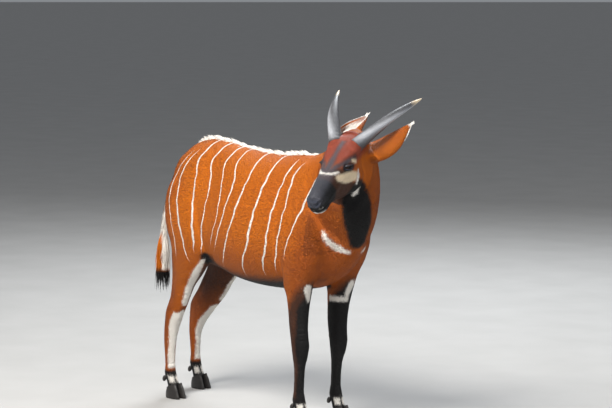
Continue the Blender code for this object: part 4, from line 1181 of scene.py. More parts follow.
class Nodes:
    """A few short words for building a node tree."""

    def __init__(self, name):
        self.material = bpy.data.materials.new(name)
        self.material.use_nodes = True
        self.tree = self.material.node_tree
        self.shader = self.tree.nodes["Principled BSDF"]

    def add(self, kind, **settings):
        node = self.tree.nodes.new(kind)
        for key, value in settings.items():
            setattr(node, key, value)
        return node

    def feed(self, socket, value):
        if isinstance(value, (int, float)):
            socket.default_value = value
        elif isinstance(value, tuple):
            socket.default_value = (*value, 1.0)[:len(socket.default_value)]
        else:
            self.tree.links.new(value, socket)

    def math(self, operation, *values, clamp=False):
        node = self.add("ShaderNodeMath", operation=operation, use_clamp=clamp)
        for socket, value in zip(node.inputs, values):
            self.feed(socket, value)
        return node.outputs[0]

    def line(self, value, factor, offset=0.0, clamp=False):
        """The value times a factor, plus an offset."""
        return self.math("MULTIPLY_ADD", value, factor, offset, clamp=clamp)

    def mix(self, factor, first, second, blend="MIX"):
        node = self.add("ShaderNodeMix", data_type="RGBA", blend_type=blend)
        self.feed(node.inputs[0], factor)
        self.feed(node.inputs[6], first)
        self.feed(node.inputs[7], second)
        return node.outputs[2]

    def attribute(self, name):
        return self.add("ShaderNodeAttribute", attribute_name=name).outputs["Fac"]

    def noise(self, scale, detail=2.0, stretch=(1, 1, 1), roughness=0.5, vector=None):
        node = self.add("ShaderNodeTexNoise")
        mapping = self.add("ShaderNodeMapping")
        mapping.inputs["Scale"].default_value = stretch
        if vector is None:
            vector = self.add("ShaderNodeTexCoord").outputs["Object"]
        self.tree.links.new(vector, mapping.inputs["Vector"])
        self.tree.links.new(mapping.outputs[0], node.inputs["Vector"])
        self.feed(node.inputs["Scale"], scale)
        self.feed(node.inputs["Detail"], detail)
        self.feed(node.inputs["Roughness"], roughness)
        return node.outputs["Fac"]

    def ramp(self, value, *stops):
        node = self.add("ShaderNodeValToRGB")
        elements = node.color_ramp.elements
        while len(elements) < len(stops):
            elements.new(0.5)
        for element, (place, colour) in zip(elements, stops):
            element.position, element.color = place, (*colour, 1.0)
        self.feed(node.inputs[0], value)
        return node.outputs["Color"]

    def bump(self, height, strength, distance):
        node = self.add("ShaderNodeBump")
        self.feed(node.inputs["Height"], height)
        node.inputs["Strength"].default_value = strength
        node.inputs["Distance"].default_value = distance
        self.tree.links.new(node.outputs[0], self.shader.inputs["Normal"])

    def finish(self, **sockets):
        for name, value in sockets.items():
            self.feed(self.shader.inputs[name.replace("_", " ")], value)
        return self.material


# How sharply each colour layer ends, in the order in which they are laid over each other; grey is painted sky
# reflection, and brown is partly painted shade
COLOUR_LAYER_SHARPNESS = {"brown": 0.22, "black": 0.34, "grey": 0.30, "cream": 0.42, "white": 0.62}


def coat_material():
    n = Nodes("coat")
    ragged = n.line(n.noise(260, 2), 2.2, -1.1)
    slow, patchy = n.noise(4.5, 3), n.noise(19, 3)
    colour = n.mix(n.line(slow, 0.9, clamp=True), COAT_COLOURS["rufous"], COAT_COLOURS["rufous light"])
    depth = n.math("MULTIPLY", n.attribute("deep"), n.line(patchy, 0.5, 0.42), clamp=True)
    colour = n.mix(depth, colour, COAT_COLOURS["deep"])
    colour = n.mix(n.attribute("brick"), colour, COAT_COLOURS["brick"])
    colour = n.mix(n.line(n.attribute("inner"), 0.3, 0.5, clamp=True), colour, COAT_COLOURS["inner ear"])
    for name, sharpness in COLOUR_LAYER_SHARPNESS.items():
        share = n.line(n.math("ADD", n.attribute(name), ragged), sharpness, 0.5, clamp=True)
        # The painted sky reflection, broken up by slow noise.
        if name == "grey":
            share = n.math("MULTIPLY", share, n.line(patchy, 0.7, 0.25))
        colour = n.mix(share, colour, COAT_COLOURS[name])
    place = n.attribute("stripe_place")
    away = n.math("ABSOLUTE", n.math("SUBTRACT", place, n.math("ROUND", place)))
    frayed = n.line(ragged, 0.012, n.attribute("stripe_reach"))
    stripe = n.math("MULTIPLY", n.math("SUBTRACT", frayed, away), 60, clamp=True)
    colour = n.mix(stripe, colour, COAT_COLOURS["white"])
    # Dark bare skin of the nose and lids, in a blue-grey that is partly painted sky reflection.
    bare = n.line(n.attribute("bare"), 0.5, 0.5, clamp=True)
    colour = n.mix(bare, colour, COAT_COLOURS["bare"])
    speckle = n.ramp(n.noise(900, 2), (0.25, (0.84, 0.82, 0.80)), (0.7, (1.06, 1.05, 1.04)))
    colour = n.mix(1.0, colour, speckle, "MULTIPLY")
    n.bump(n.line(n.noise(1300, 1), 0.5, n.noise(420, 2, stretch=(1, 1, 0.25))), 0.30, 0.0012)
    return n.finish(Base_Color=colour, Roughness=n.line(bare, -0.28, 0.55), Sheen_Weight=0.03,
                    Sheen_Roughness=0.45, Specular_IOR_Level=0.22)


COAT = coat_material()
skin.data.materials.append(COAT)
print("coat nodes", len(COAT.node_tree.nodes))

# %% [markdown]
# ## The eyes
# A bongo's eye is large, dark brown and set on the side of the head, with a wide flat pupil. It is a
# smooth ball with two attributes that say how far across and how far above its look each point lies.
# The material paints iris and pupil from them under a clear, wet coat.

# %% Make the eyes
IRIS_RADIUS, PUPIL_HALF = 0.0150, (0.0092, 0.0042)
EYE_ROWS, EYE_COLUMNS, CORNEA_BULGE = 40, 64, 0.035


def eye_material():
    n = Nodes("wet eye")
    across, above = n.attribute("across"), n.attribute("above")

    def reach(wide, high):
        """The squared distance from the middle of the look, counted in these two half widths."""
        return n.math("ADD", n.math("POWER", n.math("DIVIDE", across, wide), 2.0),
                      n.math("POWER", n.math("DIVIDE", above, high), 2.0))

    pupil = n.math("MULTIPLY", n.math("SUBTRACT", 1.15, reach(*PUPIL_HALF)), 3.0, clamp=True)
    iris = n.ramp(n.math("SQRT", reach(IRIS_RADIUS, IRIS_RADIUS)), (0.2, (0.012, 0.006, 0.004)),
                  (0.75, (0.024, 0.010, 0.006)), (0.97, (0.012, 0.006, 0.005)), (1.0, (0.020, 0.012, 0.010)))
    fibres = n.mix(n.noise(700, 3), iris, (0.020, 0.009, 0.006))
    colour = n.mix(pupil, fibres, (0.002, 0.002, 0.003))
    return n.finish(Base_Color=colour, Roughness=0.25, Specular_IOR_Level=0.05, Coat_Weight=0.6,
                    Coat_Roughness=0.02, Coat_IOR=1.30)


def make_eye(side, material):
    out, forward, up = eye_axes(side)
    around = np.arange(EYE_COLUMNS) * 2 * math.pi / EYE_COLUMNS
    rings = []
    for a in np.arange(1, EYE_ROWS) * math.pi / EYE_ROWS:
        bulge = 1 + CORNEA_BULGE * math.exp(-((a / 0.55) ** 2))
        sideways = np.cos(around)[:, None] * forward + np.sin(around)[:, None] * up
        rings.append(EYE_RADIUS * bulge * (math.cos(a) * out + math.sin(a) * sideways))
    points, faces = skin_of(rings)
    places = from_head(points + EYE_AT * (1, side, 1))
    made = smooth_piece("eyeball_" + SIDES[side], places, faces, material)
    put_fields(made, {"across": points @ forward, "above": points @ up})
    return made


EYE_LOOKS = eye_material()
eyes = {side: make_eye(side, EYE_LOOKS) for side in SIDES}
print("eyes", [triangle_count(e) for e in eyes.values()])

# %% [markdown]
# ## The horns
# Bongo horns are smooth and open out in a slack twist, with one keel down the front. They are grey, with
# fine growth lines along them, and worn pale at the tip. The keel carries a painted highlight, a pale
# blue-grey sky reflection. Rings of points carry the twist, and each point keeps its run along the horn
# and its turn round it for the material.

# %% Make the horns
HORN_ROOT = np.array((0.004, 0.0440, -0.014))
HORN_REACH = np.array((-0.342, 0.142, 0.000))
HORN_BOW = np.array((0.0, 0.011, 0.022))
HORN_WIDTH, HORN_TWIST, HORN_FLUTE = 0.0315, math.radians(140), 0.0042
HORN_RINGS, HORN_SIDES = 110, 48


def horn_material():
    n = Nodes("horn keratin")
    run, turn = n.attribute("run"), n.attribute("keel")
    lines = n.add("ShaderNodeCombineXYZ")
    n.feed(lines.inputs[0], n.math("MULTIPLY", run, 3.0))
    n.feed(lines.inputs[1], n.attribute("turn_cos"))
    n.feed(lines.inputs[2], n.attribute("turn_sin"))
    streaks = n.noise(9.0, 4, stretch=(0.55, 3.2, 3.2), roughness=0.62, vector=lines.outputs[0])
    fine = n.noise(22.0, 2, stretch=(0.35, 4.0, 4.0), vector=lines.outputs[0])
    base = n.ramp(streaks, (0.30, (0.014, 0.013, 0.014)), (0.48, (0.046, 0.046, 0.050)),
                  (0.68, (0.130, 0.132, 0.142)))
    # Pale blue-grey along the keel: a painted highlight, the sky's reflection on the horn.
    keel_highlight = n.math("MULTIPLY", turn, n.math("ADD", streaks, 0.10), clamp=True)
    colour = n.mix(keel_highlight, base, (0.500, 0.515, 0.555))
    tip = n.math("ADD", n.line(run, 9.0, -7.2), n.line(streaks, 1.4, -0.7), clamp=True)
    colour = n.mix(tip, colour, (0.640, 0.520, 0.360))
    root = n.line(run, -9.0, 0.9, clamp=True)
    colour = n.mix(n.math("MULTIPLY", root, 0.6), colour, (0.050, 0.046, 0.050))
    n.bump(n.line(fine, 0.3, streaks), 0.25, 0.0010)
    return n.finish(Base_Color=colour, Roughness=n.line(streaks, 0.2, 0.34), Specular_IOR_Level=0.4)


def make_horn(side, material):
    rings, runs, turns = [], [], []
    angle = np.arange(HORN_SIDES) * 2 * math.pi / HORN_SIDES
    wrapped = np.arctan2(np.sin(angle), np.cos(angle))
    draw = np.random.default_rng(31 + side)
    flutes = HORN_FLUTE * sum(draw.uniform(0.2, 1.0) * np.cos(k * angle + draw.uniform(0, 6.3))
                              for k in (7, 11, 16, 23))
    mirror = (1, side, 1)
    ridge = 0.14 * np.exp(-(wrapped / 0.5) ** 2)
    groove = 0.035 * np.exp(-((wrapped - 0.95 * side) / 0.16) ** 2)
    for i in range(HORN_RINGS + 1):
        t = i / HORN_RINGS
        centre = (HORN_ROOT + HORN_REACH * t + HORN_BOW * math.sin(math.pi * t)) * mirror
        slope = (HORN_REACH + HORN_BOW * math.pi * math.cos(math.pi * t)) * mirror
        slope /= np.linalg.norm(slope)
        radius = max(HORN_WIDTH * (1 - t) ** 0.62 * (1 - 0.10 * t), 0.0012)
        front = np.array(Matrix.Rotation(side * HORN_TWIST * t, 3, Vector(slope)) @ Vector((0.55, 0, 0.83)))
        front -= slope * (front @ slope)
        front /= np.linalg.norm(front)
        across = np.cross(slope, front)
        growth = 1 + 0.012 * math.sin(95 * t + 2 * math.sin(9 * t)) * (1 - t) ** 2
        reach = radius * growth * (1 + ridge - groove * (t < 0.75) + flutes * min(1, 1.2 - t))
        c, s = np.cos(angle) * reach, np.sin(angle) * reach * 0.9
        rings.append(centre + c[:, None] * front + s[:, None] * across)
        runs.append(np.full(HORN_SIDES, t))
        turns.append(columns(np.exp(-(wrapped / 0.7) ** 2), np.cos(angle), np.sin(angle)))
    points, faces = skin_of(rings)
    made = smooth_piece("horn_sheath_" + SIDES[side], from_head(points), faces, material)
    run, turn = np.concatenate(runs + [[0, 1]]), np.vstack(turns + [np.zeros((2, 3))])
    put_fields(made, {"run": run, "keel": turn[:, 0], "turn_cos": turn[:, 1], "turn_sin": turn[:, 2]})
    return made


HORN_LOOKS = horn_material()
horns = {side: make_horn(side, HORN_LOOKS) for side in SIDES}
print("horns", [triangle_count(h) for h in horns.values()])

# %% [markdown]
# ## The hooves
# Each foot ends in two claws with a sloping top, a pointed toe and a flat sole, and two small dewclaws
# behind the fetlock. They are black keratin with faint growth rings, duller and scuffed in patches.

# %% Make the hooves
CLAW_SPREAD, DEWCLAW_HEIGHT = 0.0165, 0.088
CLAW_LEVELS = (
    (1.12, 0.028, -0.0295, 0.0122, 0.0000), (1.00, 0.030, -0.0300, 0.0132, 0.0000),
    (0.72, 0.039, -0.0325, 0.0158, 0.0006), (0.32, 0.049, -0.0335, 0.0168, 0.0012),
    (0.06, 0.0555, -0.0325, 0.0170, 0.0016), (0.00, 0.0545, -0.0310, 0.0160, 0.0016),
)


def hoof_material():
    n = Nodes("hoof keratin")
    rings, scuff = n.noise(60, 3, stretch=(0.25, 0.25, 3.0)), n.noise(120, 4)
    colour = n.ramp(rings, (0.3, (0.006, 0.006, 0.006)), (0.7, (0.020, 0.017, 0.016)))
    colour = n.mix(n.math("MULTIPLY", scuff, 0.25), colour, (0.060, 0.050, 0.042))
    n.bump(n.line(scuff, 0.3, rings), 0.5, 0.0010)
    return n.finish(Base_Color=colour, Roughness=n.line(scuff, 0.3, 0.30))


def make_claw(name, leg, side, material):
    foot = foot_at(leg)
    rows = []
    for share, front, back, width, apart in CLAW_LEVELS:
        y = foot[1] + side * (CLAW_SPREAD + apart)
        ends = ((foot[0] + x, y, (CORONET_HEIGHT + CORONET_SLOPE * x) * share) for x in (front, back))
        rows.append(section(*ends, width, 0.42, (1.7, 2.2)))
    made = smooth_piece(name, *loft(rows, 40, 0.004), material)
    made.data.set_sharp_from_angle(angle=math.radians(50))
    return made


def make_dewclaw(name, leg, side, material):
    front, back, width, y = leg_line(leg, DEWCLAW_HEIGHT)
    centre = np.array((back - 0.001, y + side * 0.0145, DEWCLAW_HEIGHT - 0.008))
    points, faces = ellipsoid((0, 0, 0), (0.0095, 0.0085, 0.0150))
    return smooth_piece(name, points @ turn_about("Y", 25).T + centre, faces, material)


HOOF_LOOKS = hoof_material()
hooves = {}
for leg in LEGS:
    for letter, side in (("a", -1), ("b", 1)):
        tail_name = f"{leg}_{letter}"
        hooves[f"claw_{tail_name}"] = make_claw("hoof_" + tail_name, leg, side, HOOF_LOOKS)
        hooves[f"dewclaw_{tail_name}"] = make_dewclaw("dew_hoof_" + tail_name, leg, side, HOOF_LOOKS)
print("hooves", len(hooves))

# %% [markdown]
# ## The lie of the fur
# Fur points away from the nose: back along the face and the flanks, down the neck and the legs, and out
# along each ear. A flow function gives that direction anywhere near the body, and laying it flat on the
# surface gives the lie of the coat at each root.

# %% Which way the fur lies
def flow(points, normals):
    x, y, z = points.T
    local = to_head(points)
    side, head_side = np.sign(y), np.sign(local[:, 1])
    lie = columns(-1.0, 0.10 * side, -0.25 - 0.75 * between(0.95, 0.62, z))
    face = columns(-1.0, 0.18 * head_side, -0.30 * between(-0.02, -0.10, local[:, 2])) @ HEAD_TURN.T
    from_face = np.linalg.norm((local - (0.13, 0, -0.09)) / (1, 0.62, 0.85), axis=1)
    # Neck, rump, legs and face each turn the trunk's flow their own way where they lie
    for own, share in (
        (columns(-0.50, 0.05 * side, -0.95), between(0.42, 0.54, x) * between(0.70, 0.85, z)),
        (columns(-0.25, 0.05 * side, -1.0), between(-0.44, -0.53, x)),
        (columns(-0.12, 0.0, -1.0), between(0.66, 0.56, z)),
        (face, between(0.24, 0.17, from_face)),
    ):
        lie = lie + (own - lie) * share[:, None]
    on_tail = (x < -0.57) & (z > 0.55)
    lie = np.where(on_tail[:, None], (-0.1, 0, -1.0), lie)
    ears = ear_nearness(points) > 0.4
    for word in EARS:
        mine = ears & by_ear(local, word)
        lie = np.where(mine[:, None], HEAD_TURN @ ear_axes(word)[1], lie)
    lie = lie - normals * np.sum(lie * normals, axis=1)[:, None]
    return unit(lie + 1e-6)


# %% [markdown]
# ## Rooting the tufts
# The coat is cut into regions, each one a piece of its own below two hundred thousand triangles. In each
# region roots are spread evenly over the skin: the triangles are put in order through space, and equal
# steps are taken through their running area. Every root keeps its lie, length, width and markings, and
# its place on an unwrap of the region, a cylinder laid open.

# %% Spread the roots over a region
class Surface:
    """The finished skin as arrays."""

    def __init__(self, obj):
        mesh = obj.data
        mesh.calc_loop_triangles()
        corners = np.empty(len(mesh.loop_triangles) * 3, np.int32)
        mesh.loop_triangles.foreach_get("vertices", corners)
        self.triangles = corners.reshape(-1, 3)
        self.points, self.normals = read(obj), read_normals(obj)
        a, b, c = (self.points[self.triangles[:, k]] for k in range(3))
        self.area = np.linalg.norm(np.cross(b - a, c - a), axis=1) / 2
        self.centre = (a + b + c) / 3
        self.order = np.argsort(self.space_code(self.centre))

    @staticmethod
    def space_code(places, bits=10):
        reach = np.ptp(places, axis=0).max()
        cells = ((places - places.min(axis=0)) / reach * (2 ** bits - 1)).astype(np.int64)
        code = np.zeros(len(places), np.int64)
        for bit in range(bits):
            for axis in range(3):
                code |= ((cells[:, axis] >> bit) & 1) << (3 * bit + axis)
        return code

    def roots(self, inside, count, seed):
        """Roots spread evenly over the triangles of the order that lie inside."""
        draw = np.random.default_rng(seed)
        chosen = self.order[inside[self.order]]
        running = np.cumsum(self.area[chosen])
        steps = (np.arange(count) + draw.uniform(0.05, 0.95, count)) / count * running[-1]
        picked = chosen[np.searchsorted(running, steps)]
        u, v = draw.random(count), draw.random(count)
        over = u + v > 1
        u[over], v[over] = 1 - u[over], 1 - v[over]
        corners = self.triangles[picked]
        weights = columns(1 - u - v, u, v)[:, :, None]
        places, normals = ((values[corners] * weights).sum(axis=1) for values in (self.points, self.normals))
        return places, unit(normals)


SURFACE = Surface(skin)


def unwrap(places, low, high, axis):
    """A cylinder round one axis laid open: turn round it and run along it, both from 0 to 1."""
    a, b = (k for k in range(3) if k != axis)
    centre = (low + high) / 2
    turn = np.arctan2(places[:, b] - centre[b], places[:, a] - centre[a]) / (2 * math.pi) + 0.5
    run = (places[:, axis] - low[axis]) / (high[axis] - low[axis])
    return 0.02 + 0.96 * columns(turn, run)


def euler_angles(x_axis, y_axis, z_axis):
    """XYZ angles of the turns whose columns are these axes."""
    pitch = -np.arcsin(np.clip(x_axis[:, 2], -1, 1))
    return columns(np.arctan2(y_axis[:, 2], z_axis[:, 2]), pitch, np.arctan2(x_axis[:, 1], x_axis[:, 0]))


# %% [markdown]
# ## Growing the tufts
# A tuft is a flat three-sided spike of four triangles, with its root sunk in the skin. Geometry Nodes
# stand one on every root, turned and stretched by the root's own attributes, and realize them. The
# markings ride along, a stripe's place slides from root to tip, and each tuft gets its own small patch
# of the map named OFBake.

# %% Geometry Nodes that grow tufts
PATCH = 0.003


def tuft_tree():
    tree = bpy.data.node_groups.new("Grow tufts", "GeometryNodeTree")
    for name, way, kind in (("Roots", "INPUT", "Geometry"), ("Patch", "INPUT", "Float"),
                            ("Coat", "INPUT", "Material"), ("Tufts", "OUTPUT", "Geometry")):
        tree.interface.new_socket(name, in_out=way, socket_type="NodeSocket" + kind)
    new, link = tree.nodes.new, tree.links.new
    given, made = new("NodeGroupInput"), new("NodeGroupOutput")

    def named(name, kind="FLOAT_VECTOR"):
        node = new("GeometryNodeInputNamedAttribute")
        node.data_type = kind
        node.inputs["Name"].default_value = name
        return node.outputs["Attribute"]

    def store(geometry, name, kind, domain, value):
        node = new("GeometryNodeStoreNamedAttribute")
        node.data_type, node.domain = kind, domain
        node.inputs["Name"].default_value = name
        link(geometry, node.inputs["Geometry"])
        link(value, node.inputs["Value"])
        return node.outputs[0]

    def multiply_add(kind, *values):
        node = new(kind)
        node.operation = "MULTIPLY_ADD"
        for value, socket in zip(values, node.inputs):
            link(value, socket)
        return node.outputs[0]

    spike = new("GeometryNodeMeshCone")
    for name, value in (("Vertices", 3), ("Radius Top", 0.0), ("Radius Bottom", 0.5), ("Depth", 1.0)):
        spike.inputs[name].default_value = value
    leaf = store(spike.outputs["Mesh"], "leaf", "FLOAT_VECTOR", "POINT",
                 new("GeometryNodeInputPosition").outputs[0])
    turn = new("FunctionNodeEulerToRotation")
    link(named("turn"), turn.inputs[0])
    stand = new("GeometryNodeInstanceOnPoints")
    for value, socket in ((given.outputs["Roots"], "Points"), (leaf, "Instance"),
                          (turn.outputs[0], "Rotation"), (named("size"), "Scale")):
        link(value, stand.inputs[socket])
    real = new("GeometryNodeRealizeInstances")
    link(stand.outputs[0], real.inputs[0])
    patch = multiply_add("ShaderNodeVectorMath", named("leaf"), given.outputs["Patch"], named("root_place"))
    last = store(real.outputs[0], "OFBake", "FLOAT2", "CORNER", patch)
    along = new("ShaderNodeSeparateXYZ")
    link(named("leaf"), along.inputs[0])
    slide = multiply_add("ShaderNodeMath", along.outputs[2], named("stripe_run", "FLOAT"),
                         named("stripe_place", "FLOAT"))
    last = store(last, "stripe_place", "FLOAT", "POINT", slide)
    for spent in ("leaf", "root_place", "turn", "size", "stripe_run"):
        drop = new("GeometryNodeRemoveAttribute")
        drop.inputs["Name"].default_value = spent
        link(last, drop.inputs[0])
        last = drop.outputs[0]
    smooth = new("GeometryNodeSetShadeSmooth")
    link(last, smooth.inputs[0])
    dress = new("GeometryNodeSetMaterial")
    link(smooth.outputs[0], dress.inputs["Geometry"])
    link(given.outputs["Coat"], dress.inputs["Material"])
    link(dress.outputs[0], made.inputs[0])
    return tree


GROW = tuft_tree()


def set_input(modifier, tree, name, value):
    for item in tree.interface.items_tree:
        if item.item_type == "SOCKET" and item.in_out == "INPUT" and item.name == name:
            modifier[item.identifier] = value


def grow(name, places, turns, sizes, root_places, fields):
    roots = new_object(name, places, np.zeros((0, 3), np.int32))
    for label, values in (("turn", turns), ("size", sizes), ("root_place", columns(*root_places.T, 0.0))):
        layer = roots.data.attributes.new(label, "FLOAT_VECTOR", "POINT")
        layer.data.foreach_set("vector", values.astype(np.float32).ravel())
    put_fields(roots, fields)
    modifier = roots.modifiers.new("grow", "NODES")
    modifier.node_group = GROW
    set_input(modifier, GROW, "Patch", PATCH)
    set_input(modifier, GROW, "Coat", COAT)
    bake_modifiers(roots)
    return roots


# %% [markdown]
# ## The coat, region by region
# The fur is longest on the tail, the trunk and the throat, and shortest on the face. Lengths, widths and
# the number of tufts are given for each region. A tuft takes its colour from near its middle, where it
# shows, except for the stripes, which cross it where they cross the skin.

# %% Grow the coat
TUFT_LIFT, TUFT_SPREAD, ROOT_DEPTH = math.radians(2.8), math.radians(9), 0.16
SPARSE = 1.0


def fur_region(places):
    """The number of the region that each place belongs to."""
    local = to_head(places)
    x, y, z = places.T
    region = np.where(y < 0, 0, 1)
    neck = (x > 0.44) & (z > 0.72 + 0.3 * (x - 0.44))
    region[neck] = 2
    hull = np.linalg.norm((local - (0.13, 0, -0.09)) / (1.0, 0.46, 0.60), axis=1) < 0.24
    region[hull] = 3
    region[ear_nearness(places) > 0.35] = 4
    region[(x < -0.575) & (z > 0.50)] = 5
    for number, (name, (_, leg_side, _)) in enumerate(LEGS.items()):
        fore = name.startswith("fore")
        in_reach = (z < 0.64) & (x > 0.18) if fore else (z < 0.66) & (x < -0.20)
        off_middle = (np.abs(y) > 0.045) | (z < 0.50)
        region[in_reach & off_middle & (np.sign(y) == leg_side)] = 6 + number
    return region


FLANK_FUR = (49_000, 0.0130, 0.0026, 0.0006, 0)
FORE_LEG_FUR = (26_000, 0.0095, 0.0022, 0.0007, 2)
HIND_LEG_FUR = (30_000, 0.0100, 0.0023, 0.0007, 2)
# Tufts, their length, width and thickness in each region, and the axis of its unwrap
FUR = {
    "fur_flank_right": FLANK_FUR, "fur_flank_left": FLANK_FUR,
    "fur_neck": (42_000, 0.0140, 0.0026, 0.0007, 2), "fur_face": (48_000, 0.0058, 0.0013, 0.0004, 0),
    "fur_ears": (30_000, 0.0085, 0.0015, 0.0005, 0), "fur_tail": (9_000, 0.0210, 0.0026, 0.0010, 2),
    "fur_leg_fore_right": FORE_LEG_FUR, "fur_leg_fore_left": FORE_LEG_FUR,
    "fur_leg_hind_right": HIND_LEG_FUR, "fur_leg_hind_left": HIND_LEG_FUR,
}
COLOUR_AT, MARKING_DRIFT = 0.45, 0.7


def bare_places(places):
    """Where no tuft grows: over the eyes, on the nose pad, under the horns and below the coronets."""
    local = to_head(places)
    sided = both_sides(local)
    out, forward, up = eye_axes(1)
    off = sided - EYE_AT
    eye = (off @ out > 0) & (almond(off @ forward, off @ up) < 1.45) & (np.linalg.norm(off, axis=1) < 0.030)
    nose = strip(local, NOSE_PAD, 0.0195) > 0
    horn = near(sided, (HORN_ROOT, HORN_ROOT + HORN_REACH * 0.2)) < 0.027
    foot = places[:, 2] < CORONET_HEIGHT + 0.002
    return eye | nose | horn | foot


def grow_region(number, name, count, length, width, thickness, axis):
    places, normals = SURFACE.roots(REGION_OF == number, int(count * SPARSE), 40 + number)
    keep = ~bare_places(places)
    places, normals = places[keep], normals[keep]
    draw = np.random.default_rng(90 + number)
    count = len(places)
    lie = flow(places, normals)
    swing = draw.normal(0, TUFT_SPREAD, count)[:, None]
    lie = lie * np.cos(swing) + np.cross(normals, lie) * np.sin(swing)
    lift = (TUFT_LIFT * draw.uniform(0.35, 1.5, count))[:, None]
    z_axis = lie * np.cos(lift) + normals * np.sin(lift)
    x_axis = unit(np.cross(normals, z_axis))
    y_axis = np.cross(z_axis, x_axis)
    lengths = length * draw.uniform(0.65, 1.30, count)
    run = lie * lengths[:, None]
    fields = marks(places + run * COLOUR_AT, normals)
    root, tip = (stripe_fields(places + run * share)[0] for share in (-ROOT_DEPTH, 1 - ROOT_DEPTH))
    fields["stripe_run"], fields["stripe_place"] = tip - root, root
    drift = draw.normal(0, MARKING_DRIFT, count)
    for field in ("white", "black", "brown", "grey", "cream"):
        fields[field] = fields[field] + drift
    flat = unwrap(places, places.min(axis=0), places.max(axis=0), axis)
    sizes = columns(width * draw.uniform(0.75, 1.25, count), thickness, lengths)
    sunk = places - z_axis * (lengths * ROOT_DEPTH)[:, None]
    return grow(name, sunk, euler_angles(x_axis, y_axis, z_axis), sizes, flat, fields)


REGION_OF = fur_region(SURFACE.centre)
coat_pieces = [grow_region(number, name, *spec) for number, (name, spec) in enumerate(FUR.items())]
print("tufts", {piece.name: triangle_count(piece) for piece in coat_pieces})

# %% [markdown]
# ## Longer hair
# Long hair is made lock by lock: the white crest that stands along the spine, the white fringe and black
# tuft of the tail, the white hair in and round the ears, and the lashes. A lock is a tapered blade of a
# few rings that leaves its root one way and bends over to another.

# %% Make locks from arrays
LOCK_SIDES = ((1, 0), (0, 1), (-1, 0), (0, -1))
LOCK_TIP = 0.00025


def locks(roots, lifts, alongs, flats, lengths, widths, thickness, rings=5, droop=1.2):
    """Points, faces and root numbers of many locks at once."""
    count = len(roots)
    centre = roots.copy()
    layers = []
    for i in range(rings):
        t = i / (rings - 1)
        heading = unit(lifts * (1 - t) ** droop + alongs * (0.3 + t))
        if i:
            centre = centre + heading * (lengths / (rings - 1))[:, None]
        side = unit(np.cross(flats, heading))
        normal = np.cross(heading, side)
        taper = (1 - t) ** 0.75
        half = (widths * taper + LOCK_TIP)[:, None]
        thick = thickness * taper + LOCK_TIP
        ring_points = [centre + side * half * a + normal * thick * b for a, b in LOCK_SIDES]
        layers.append(np.stack(ring_points, axis=1))
    points = np.stack(layers, axis=1).reshape(-1, 3)
    faces = []
    for i in range(rings - 1):
        for k in range(4):
            a, b = i * 4 + k, i * 4 + (k + 1) % 4
            faces += [(a, b, b + 4), (a, b + 4, a + 4)]
    last = (rings - 1) * 4
    faces += [(2, 1, 0), (3, 2, 0), (last, last + 1, last + 2), (last, last + 2, last + 3)]
    faces = (np.array(faces)[None] + (np.arange(count) * rings * 4)[:, None, None]).reshape(-1, 3)
    return points, faces, np.repeat(np.arange(count), rings * 4)


PLAIN = dict.fromkeys(FIELDS, -9.0) | {"deep": 0.0, "brick": 0.0, "stripe_place": 1.5, "stripe_reach": -0.5}


def lock_object(name, made, flat, colours, tone):
    """A coat piece of locks, with one chosen colour each, faces that point outwards and an OFBake map."""
    points, faces, owner = made
    piece = smooth_piece(name, points, faces, COAT)
    count = owner.max() + 1
    fields = {field: np.full(len(points), value) for field, value in PLAIN.items()}
    for field, values in colours.items():
        fields[field] = values(points) if callable(values) else (np.broadcast_to(values, count) + tone)[owner]
    put_fields(piece, fields)
    chart = piece.data.uv_layers.new(name="OFBake")
    loops = np.empty(len(piece.data.loops), np.int32)
    piece.data.loops.foreach_get("vertex_index", loops)
    ring_place = np.array(LOCK_SIDES)[np.arange(len(points)) % len(LOCK_SIDES)] * PATCH / 2
    chart.data.foreach_set("uv", (flat[owner] + ring_place)[loops].astype(np.float32).ravel())
    with editing(piece) as mesh:
        bmesh.ops.recalc_face_normals(mesh, faces=mesh.faces)
    return piece


# %% The crest along the spine
CREST_FRONT, CREST_BACK, CREST_COUNT, CREST_LENGTH = 0.345, -0.455, 1500, 0.040
FEWER = max(SPARSE, 0.5)


def make_crest():
    draw = np.random.default_rng(5)
    count = int(CREST_COUNT * FEWER)
    share = (np.arange(count) + draw.random(count)) / count
    x = CREST_FRONT + (CREST_BACK - CREST_FRONT) * share
    rows = np.array(smooth_rows(TRUNK_ROWS, 0.01))
    top = np.interp(x, rows[:, 0], rows[:, 2] + rows[:, 5] * rows[:, 8])
    off = draw.normal(0, 0.0055, count)
    roots = columns(x, off, top - 0.008 - np.abs(off) * 0.4)
    clump = np.sin(x * 140 + 2 * np.sin(x * 31)) * 0.5 + 0.5
    lean = off * 26 + draw.normal(0, 0.10, count)
    lifts = unit(columns(-0.75, lean, 0.72 + 0.35 * clump))
    alongs = unit(columns(-1.0, lean * 0.8, 0.10 + 0.22 * clump))
    flats = unit(columns(draw.normal(0, 0.3, count), 1.0, -lean))
    fade = np.minimum(1.0, 0.50 + 5.0 * np.minimum(share, 1 - share))
    lengths = CREST_LENGTH * fade * draw.uniform(0.7, 1.15, count) * (0.78 + 0.35 * clump)
    widths = 0.0016 * draw.uniform(0.7, 1.3, count)
    made = locks(roots, lifts, alongs, flats, lengths, widths, 0.0006)
    flat = columns(0.05 + 0.9 * share, 0.5 + off * 30)
    return lock_object("crest_hair", made, flat, {"white": 9.0}, draw.normal(0, 0.5, count))


# %% The hair of the tail
TUFT_COUNT, TUFT_LENGTH, TUFT_RINGS, TUFT_BLACK_BELOW = 620, 0.165, 6, 0.545
FRINGE_COUNT, FRINGE_TOP, FRINGE_DROP = 420, 0.84, 0.25
DOWN = np.array((0.0, 0.0, -1.0))


def tail_line(z):
    return columns(*(np.interp(z, TAIL_PATH[::-1, 2], TAIL_PATH[::-1, k]) for k in range(3)))


